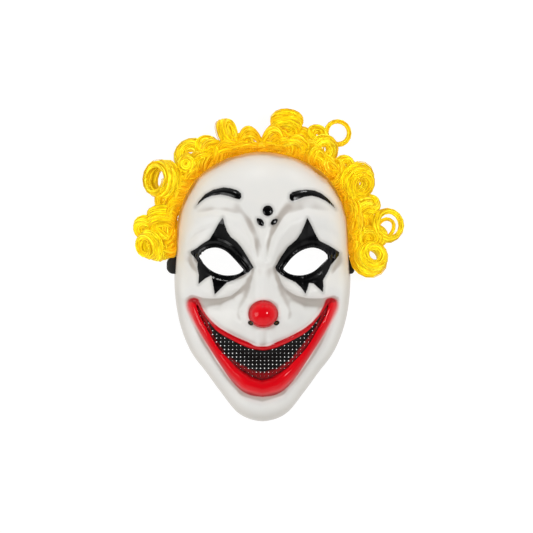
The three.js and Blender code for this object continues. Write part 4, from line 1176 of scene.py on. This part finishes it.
def core_of(row):
    """A smaller coil that fills the middle of a ringlet."""
    core = dict(row, coil=row["coil"] * 0.66, thick=row["thick"] * 0.75, turns=row["turns"] * 0.8)
    core.update(root=row["root"] + 1.5, close=0.8 * row["close"])
    return core


def filling(course, count, spread):
    """The radius at which a number of strands fills a lock."""
    return 0.62 * math.sqrt(course[3].max() * course[4].max() / count) * spread


def build_hair(name, start, end, seed):
    random = np.random.RandomState(seed)
    curls, spans = spare_curls(random, max(start, 16), min(end, 166))
    large = [row for row in ringlets if start <= row["at"] < end]
    cores = [core_of(row) for row in large if row["thick"] > 0.65 and not row["open"]]
    locks = [(row, 22) for row in large] + [(row, 12) for row in curls] + [(row, 8) for row in cores]
    chosen_waves = [row for row in waves if start <= (row["start"] + row["end"]) / 2 < end] + spans
    parts = []
    total = 0

    def clump(count):
        return np.clip(random.uniform(-0.1, 1.1) + random.uniform(-0.4, 0.4, count), 0, 1)

    # The last value is the least painted shade that the strands get
    def add(made, sides, tone, share):
        nonlocal total
        ways, radii, lift = made
        points, quads, fibre, direction = tubes(keep_clear(ways), radii, sides)
        tones = np.repeat(tone, ways.shape[1] * sides)
        lifts = np.repeat(lift.ravel(), sides)
        inner = np.full(len(points), share)
        parts.append((points, quads, fibre + total % 911, direction, tones, lifts, inner))
        total += len(points)

    for row, count in locks:
        course = ringlet_way(row)
        size = filling(course, count, 1.45)
        add(strands(course, count, size, random, 0.15, 0.86, 0.09), 4, clump(count), 0.0)
        fine = 6
        add(strands(course, fine, fine_radius, random, 0.84, 1.02, 0.12), 3, clump(fine), 0.0)
    for row in chosen_waves:
        course = wave_way(row)
        count = 10
        size = filling(course, count, 1.5)
        add(strands(course, count, size, random, 0.1, 0.86, 0.1), 4, clump(count), 0.3)
        fine = 4
        add(strands(course, fine, fine_radius, random, 0.8, 1.15, 0.2), 3, random.uniform(0, 1, fine), 0.35)
    points, faces, fibre, along, tone, lift, inner = joined(parts)
    share = share_out(points[:, 0], points[:, 1])
    out = np.hypot(points[:, 0], points[:, 1]) * (1 - 1 / share)
    # Painted shade is deepest next to the face's edge, low down and in the waves along the edge
    hair_shade_depth = np.maximum(smooth_step(out, 11, 2), inner)
    hair_shade_depth = np.maximum(hair_shade_depth, 0.35 * smooth_step(points[:, 2], 14, 4))
    values = {"tone": tone, "hair_shade_depth": hair_shade_depth, "lift": lift, "fibre": fibre, "along": along}
    return new_mesh(name, placed(points), faces, values)


def build_weft():
    """The sewn band that the locks hang from."""
    degrees = np.linspace(167, 14, 120)
    inner = hair_gap + rim_flare
    section = [(inner, weft_bottom), (inner, weft_bottom + weft_height)]
    section += [(inner + weft_thickness, weft_bottom + weft_height), (inner + weft_thickness, weft_bottom)]
    points = np.stack([beside_outline(degrees, out, height) for out, height in section], 1)
    index = np.arange(len(degrees) * 4).reshape(-1, 4)
    caps = np.array([index[0], index[-1][::-1]])
    obj = new_mesh("weft", placed(points.reshape(-1, 3)), np.vstack([skin(index), caps]))
    obj.data.polygons.foreach_set("use_smooth", np.zeros(len(obj.data.polygons), bool))
    g = Graph("weft_thread")
    g.set(Base_Color=g.mix(g.noise(500, 3.0), rgb(240, 150, 8), rgb(252, 184, 20)), Roughness=0.7)
    g.bump(g.noise(900, 3.0), 0.5, 0.0008)
    obj.data.materials.append(g.material)
    return obj


# The strap


def half_width_at(y):
    edge = outline_point(np.linspace(-89, 89, 2000))
    return np.interp(y, edge[:, 1], edge[:, 0])


def strap_end(bulge):
    """The threaded end seen along Y: how far out from the middle, and the height."""
    half = strap_thickness / 2
    edges = half_width_at(temple_level + np.array([-0.5, 0, 0.5]) * strap_width)
    outside = max(edges) + rim_flare + strap_gap
    inside = min(edges) - wall - 2 * strap_gap
    rise = upper_slit - lower_slit
    points = [
        (inside - strap_thickness - half, lower_slit + 1),
        (inside - strap_thickness - half, upper_slit - 1.5),
        (inside - strap_thickness, upper_slit - half * 0.4),
        (inside, upper_slit),
    ]
    for t in np.linspace(0, np.pi, 13):
        out = outside + (bulge - half) * math.sin(t) ** 0.8
        points.append((out, lower_slit + rise * (0.5 + 0.5 * math.cos(t))))
    points += [(inside, lower_slit), (inside - half, lower_slit + 1), (inside - half, upper_slit - 4)]
    return np.array(points)


def strap_way(bow):
    """The band's way round inside the hollow; a smaller bow is a flatter arch."""
    inset = wall + strap_gap + 2.4 * strap_thickness
    degrees = np.linspace(3, 177, 121)
    edge = outline_point(degrees) - outline_normal(degrees) * inset
    lift = np.maximum(edge[:, 1] - temple_level, 0)
    y = np.where(edge[:, 1] > temple_level, temple_level + lift * bow, edge[:, 1])
    pull = smooth_step(lift, 0, half_height) * (1 - bow) * 0.3
    points = np.column_stack([edge[:, 0] * (1 - pull), y])
    return points[points[:, 1] > temple_level - strap_width / 2]


def band_mesh(centres, sides_way, thick_way, shares=1.0):
    """A band with rounded edges along centres, and the UV map that its weave follows."""
    profile = []
    for t in np.linspace(-1, 1, 9):
        profile.append((t * (strap_width / 2 - 0.3), 0.5 * strap_thickness * (1 - 0.25 * abs(t) ** 4)))
    profile = np.array(profile + [(x, -y) for x, y in profile[::-1]])
    count = len(centres)
    across = sides_way * np.reshape(shares, (-1, 1))
    points = centres[:, None] + across[:, None] * profile[:, :1] + thick_way[:, None] * profile[:, 1:]
    faces = skin(np.arange(count * len(profile)).reshape(count, -1))[:, [0, 3, 2, 1]]
    run = np.concatenate([[0], np.cumsum(np.linalg.norm(np.diff(centres, axis=0), axis=1))])
    uv = np.stack([np.repeat(run, len(profile)), np.tile(profile[:, 0] / strap_width + 0.5, count)], 1)
    return points.reshape(-1, 3), faces, uv


def build_strap():
    # The bow is found that makes the whole band as long as it should be
    used = sum(length_of(strap_end(bulge)) for bulge in strap_bulge.values())
    low_bow, high_bow = 0.1, 1.0
    for _ in range(30):
        bow = (low_bow + high_bow) / 2
        if length_of(strap_way(bow)) + used < strap_length:
            low_bow = bow
        else:
            high_bow = bow
    parts = []
    flat = strap_way(low_bow)
    along = unit(np.gradient(flat, axis=0))
    centres = np.column_stack([flat, np.full(len(flat), strap_gap + strap_width / 2)])
    up = np.tile([0.0, 0.0, 1.0], (len(flat), 1))
    thick = np.column_stack([-along[:, 1], along[:, 0], np.zeros(len(flat))])
    parts.append(band_mesh(centres, up, thick))
    for side, bulge in strap_bulge.items():
        profile = smooth_line(strap_end(bulge), 3)
        along = unit(np.gradient(profile, axis=0))
        centres = np.column_stack([side * profile[:, 0], np.full(len(profile), temple_level), profile[:, 1]])
        width = np.tile([0.0, 1.0, 0.0], (len(profile), 1))
        thick = np.column_stack([-side * along[:, 1], np.zeros(len(profile)), along[:, 0]])
        edge = half_width_at(temple_level) + rim_flare
        proud = np.clip((profile[:, 0] - edge) / bulge, 0, 1)
        parts.append(band_mesh(centres, width, thick, 1 - 0.55 * proud**3))
    points, faces, uvs = joined(parts)
    obj = new_mesh("strap", placed(points), faces)
    layer = obj.data.uv_layers.new(name="weave")
    layer.data.foreach_set("uv", uvs[faces.ravel()].ravel())
    obj.data.materials.append(elastic())
    return obj


# The whole object

face = build_face()
face.data.materials.append(face_paint())
face.data.materials.append(bare_plastic())
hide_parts("face_shell")

net = build_net()
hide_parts("mouth_net")

# The hair's lit tones, the colour of its painted shade and darker tone, and its deepest painted shade
lit_tones = (rgb(244, 255, 70), rgb(240, 222, 0))
fibre = hair_fibre("shiny_fibre", lit_tones, rgb(224, 146, 0), rgb(255, 148, 0))
hair = [
    build_hair("hair_left", 136, 181, 3),
    build_hair("hair_top_left", 90, 136, 5),
    build_hair("hair_top_right", 50, 90, 7),
    build_hair("hair_right", 0, 50, 11),
]
for piece in hair:
    piece.data.materials.append(fibre)
    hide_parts("curly_hair")

weft = build_weft()
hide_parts("curly_hair")

strap = build_strap()
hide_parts("head_strap")

for piece in (face, net, weft, strap, *hair):
    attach(piece, "root")

# Floor, light and camera

floor = new_mesh("floor", [(-3, -3, 0), (3, -3, 0), (3, 3, 0), (-3, 3, 0)], [(0, 1, 2, 3)])
g = Graph("pale_floor")
g.set(Base_Color=(0.12, 0.12, 0.12, 1), Roughness=0.9, Emission_Color=(1, 1, 1, 1), Emission_Strength=0.93)
floor.data.materials.append(g.material)


def soft_light(name, place, aim, size, power):
    data = bpy.data.lights.new(name, "AREA")
    data.shape = "RECTANGLE"
    data.size, data.size_y = size
    data.energy = power
    obj = bpy.data.objects.new(name, data)
    obj.location = place
    obj.rotation_euler = (Vector(aim) - Vector(place)).to_track_quat("-Z", "Y").to_euler()
    bpy.context.scene.collection.objects.link(obj)


soft_light("right_key", (0.77, 0.25, 1.38), (0, -0.02, 0.04), (0.38, 0.38), 10)
soft_light("left_key", (-1.25, -0.1, 0.95), (0, 0, 0.02), (0.8, 0.8), 9)
soft_light("low_fill", (0.1, -1.5, 0.95), (0, 0, 0.02), (2.8, 1.6), 8.5)
soft_light("top_spark", (-0.12, 1.36, 0.62), (0, -0.04, 0.07), (0.14, 0.14), 2.5)
soft_light("side_spark", (0.63, 1.3, 0.41), (0, -0.04, 0.07), (0.14, 0.14), 2.2)

# The studio is pale all round and dark overhead, so the gloss shows only the lamps
world = bpy.data.worlds.new("studio")
world.use_nodes = True
sky = world.node_tree
direction = sky.nodes.new("ShaderNodeTexCoord")
split = sky.nodes.new("ShaderNodeSeparateXYZ")
fall = sky.nodes.new("ShaderNodeMapRange")
sky.links.new(direction.outputs["Generated"], split.inputs[0])
sky.links.new(split.outputs["Z"], fall.inputs["Value"])
for key, value in {"From Min": 0.3, "From Max": 0.75, "To Min": 0.55, "To Max": 0.04}.items():
    fall.inputs[key].default_value = value
background = sky.nodes["Background"]
background.inputs["Color"].default_value = (1, 1, 1, 1)
sky.links.new(fall.outputs["Result"], background.inputs["Strength"])
bpy.context.scene.world = world

bpy.context.scene.view_settings.view_transform = "Standard"
bpy.context.scene.view_settings.look = "None"

# The photograph is taken from straight in front. These are the camera's height, the height of the features,
# the frame's width at that height, and its middle to the right of and above the middle of the face
distance = 2.5
reference = 0.025
frame_width = 0.4797
frame_right = 3.69 * MM
frame_up = 18.0 * MM
camera_data = bpy.data.cameras.new("camera")
camera = bpy.data.objects.new("camera", camera_data)
camera_data.sensor_width = 36
camera_data.lens = 36 * (distance - reference) / frame_width
camera_data.clip_end = 20
camera.location = (middle_x + frame_right, middle_y + frame_up, distance)
camera.rotation_euler = (0, 0, 0)
bpy.context.scene.collection.objects.link(camera)
bpy.context.scene.camera = camera
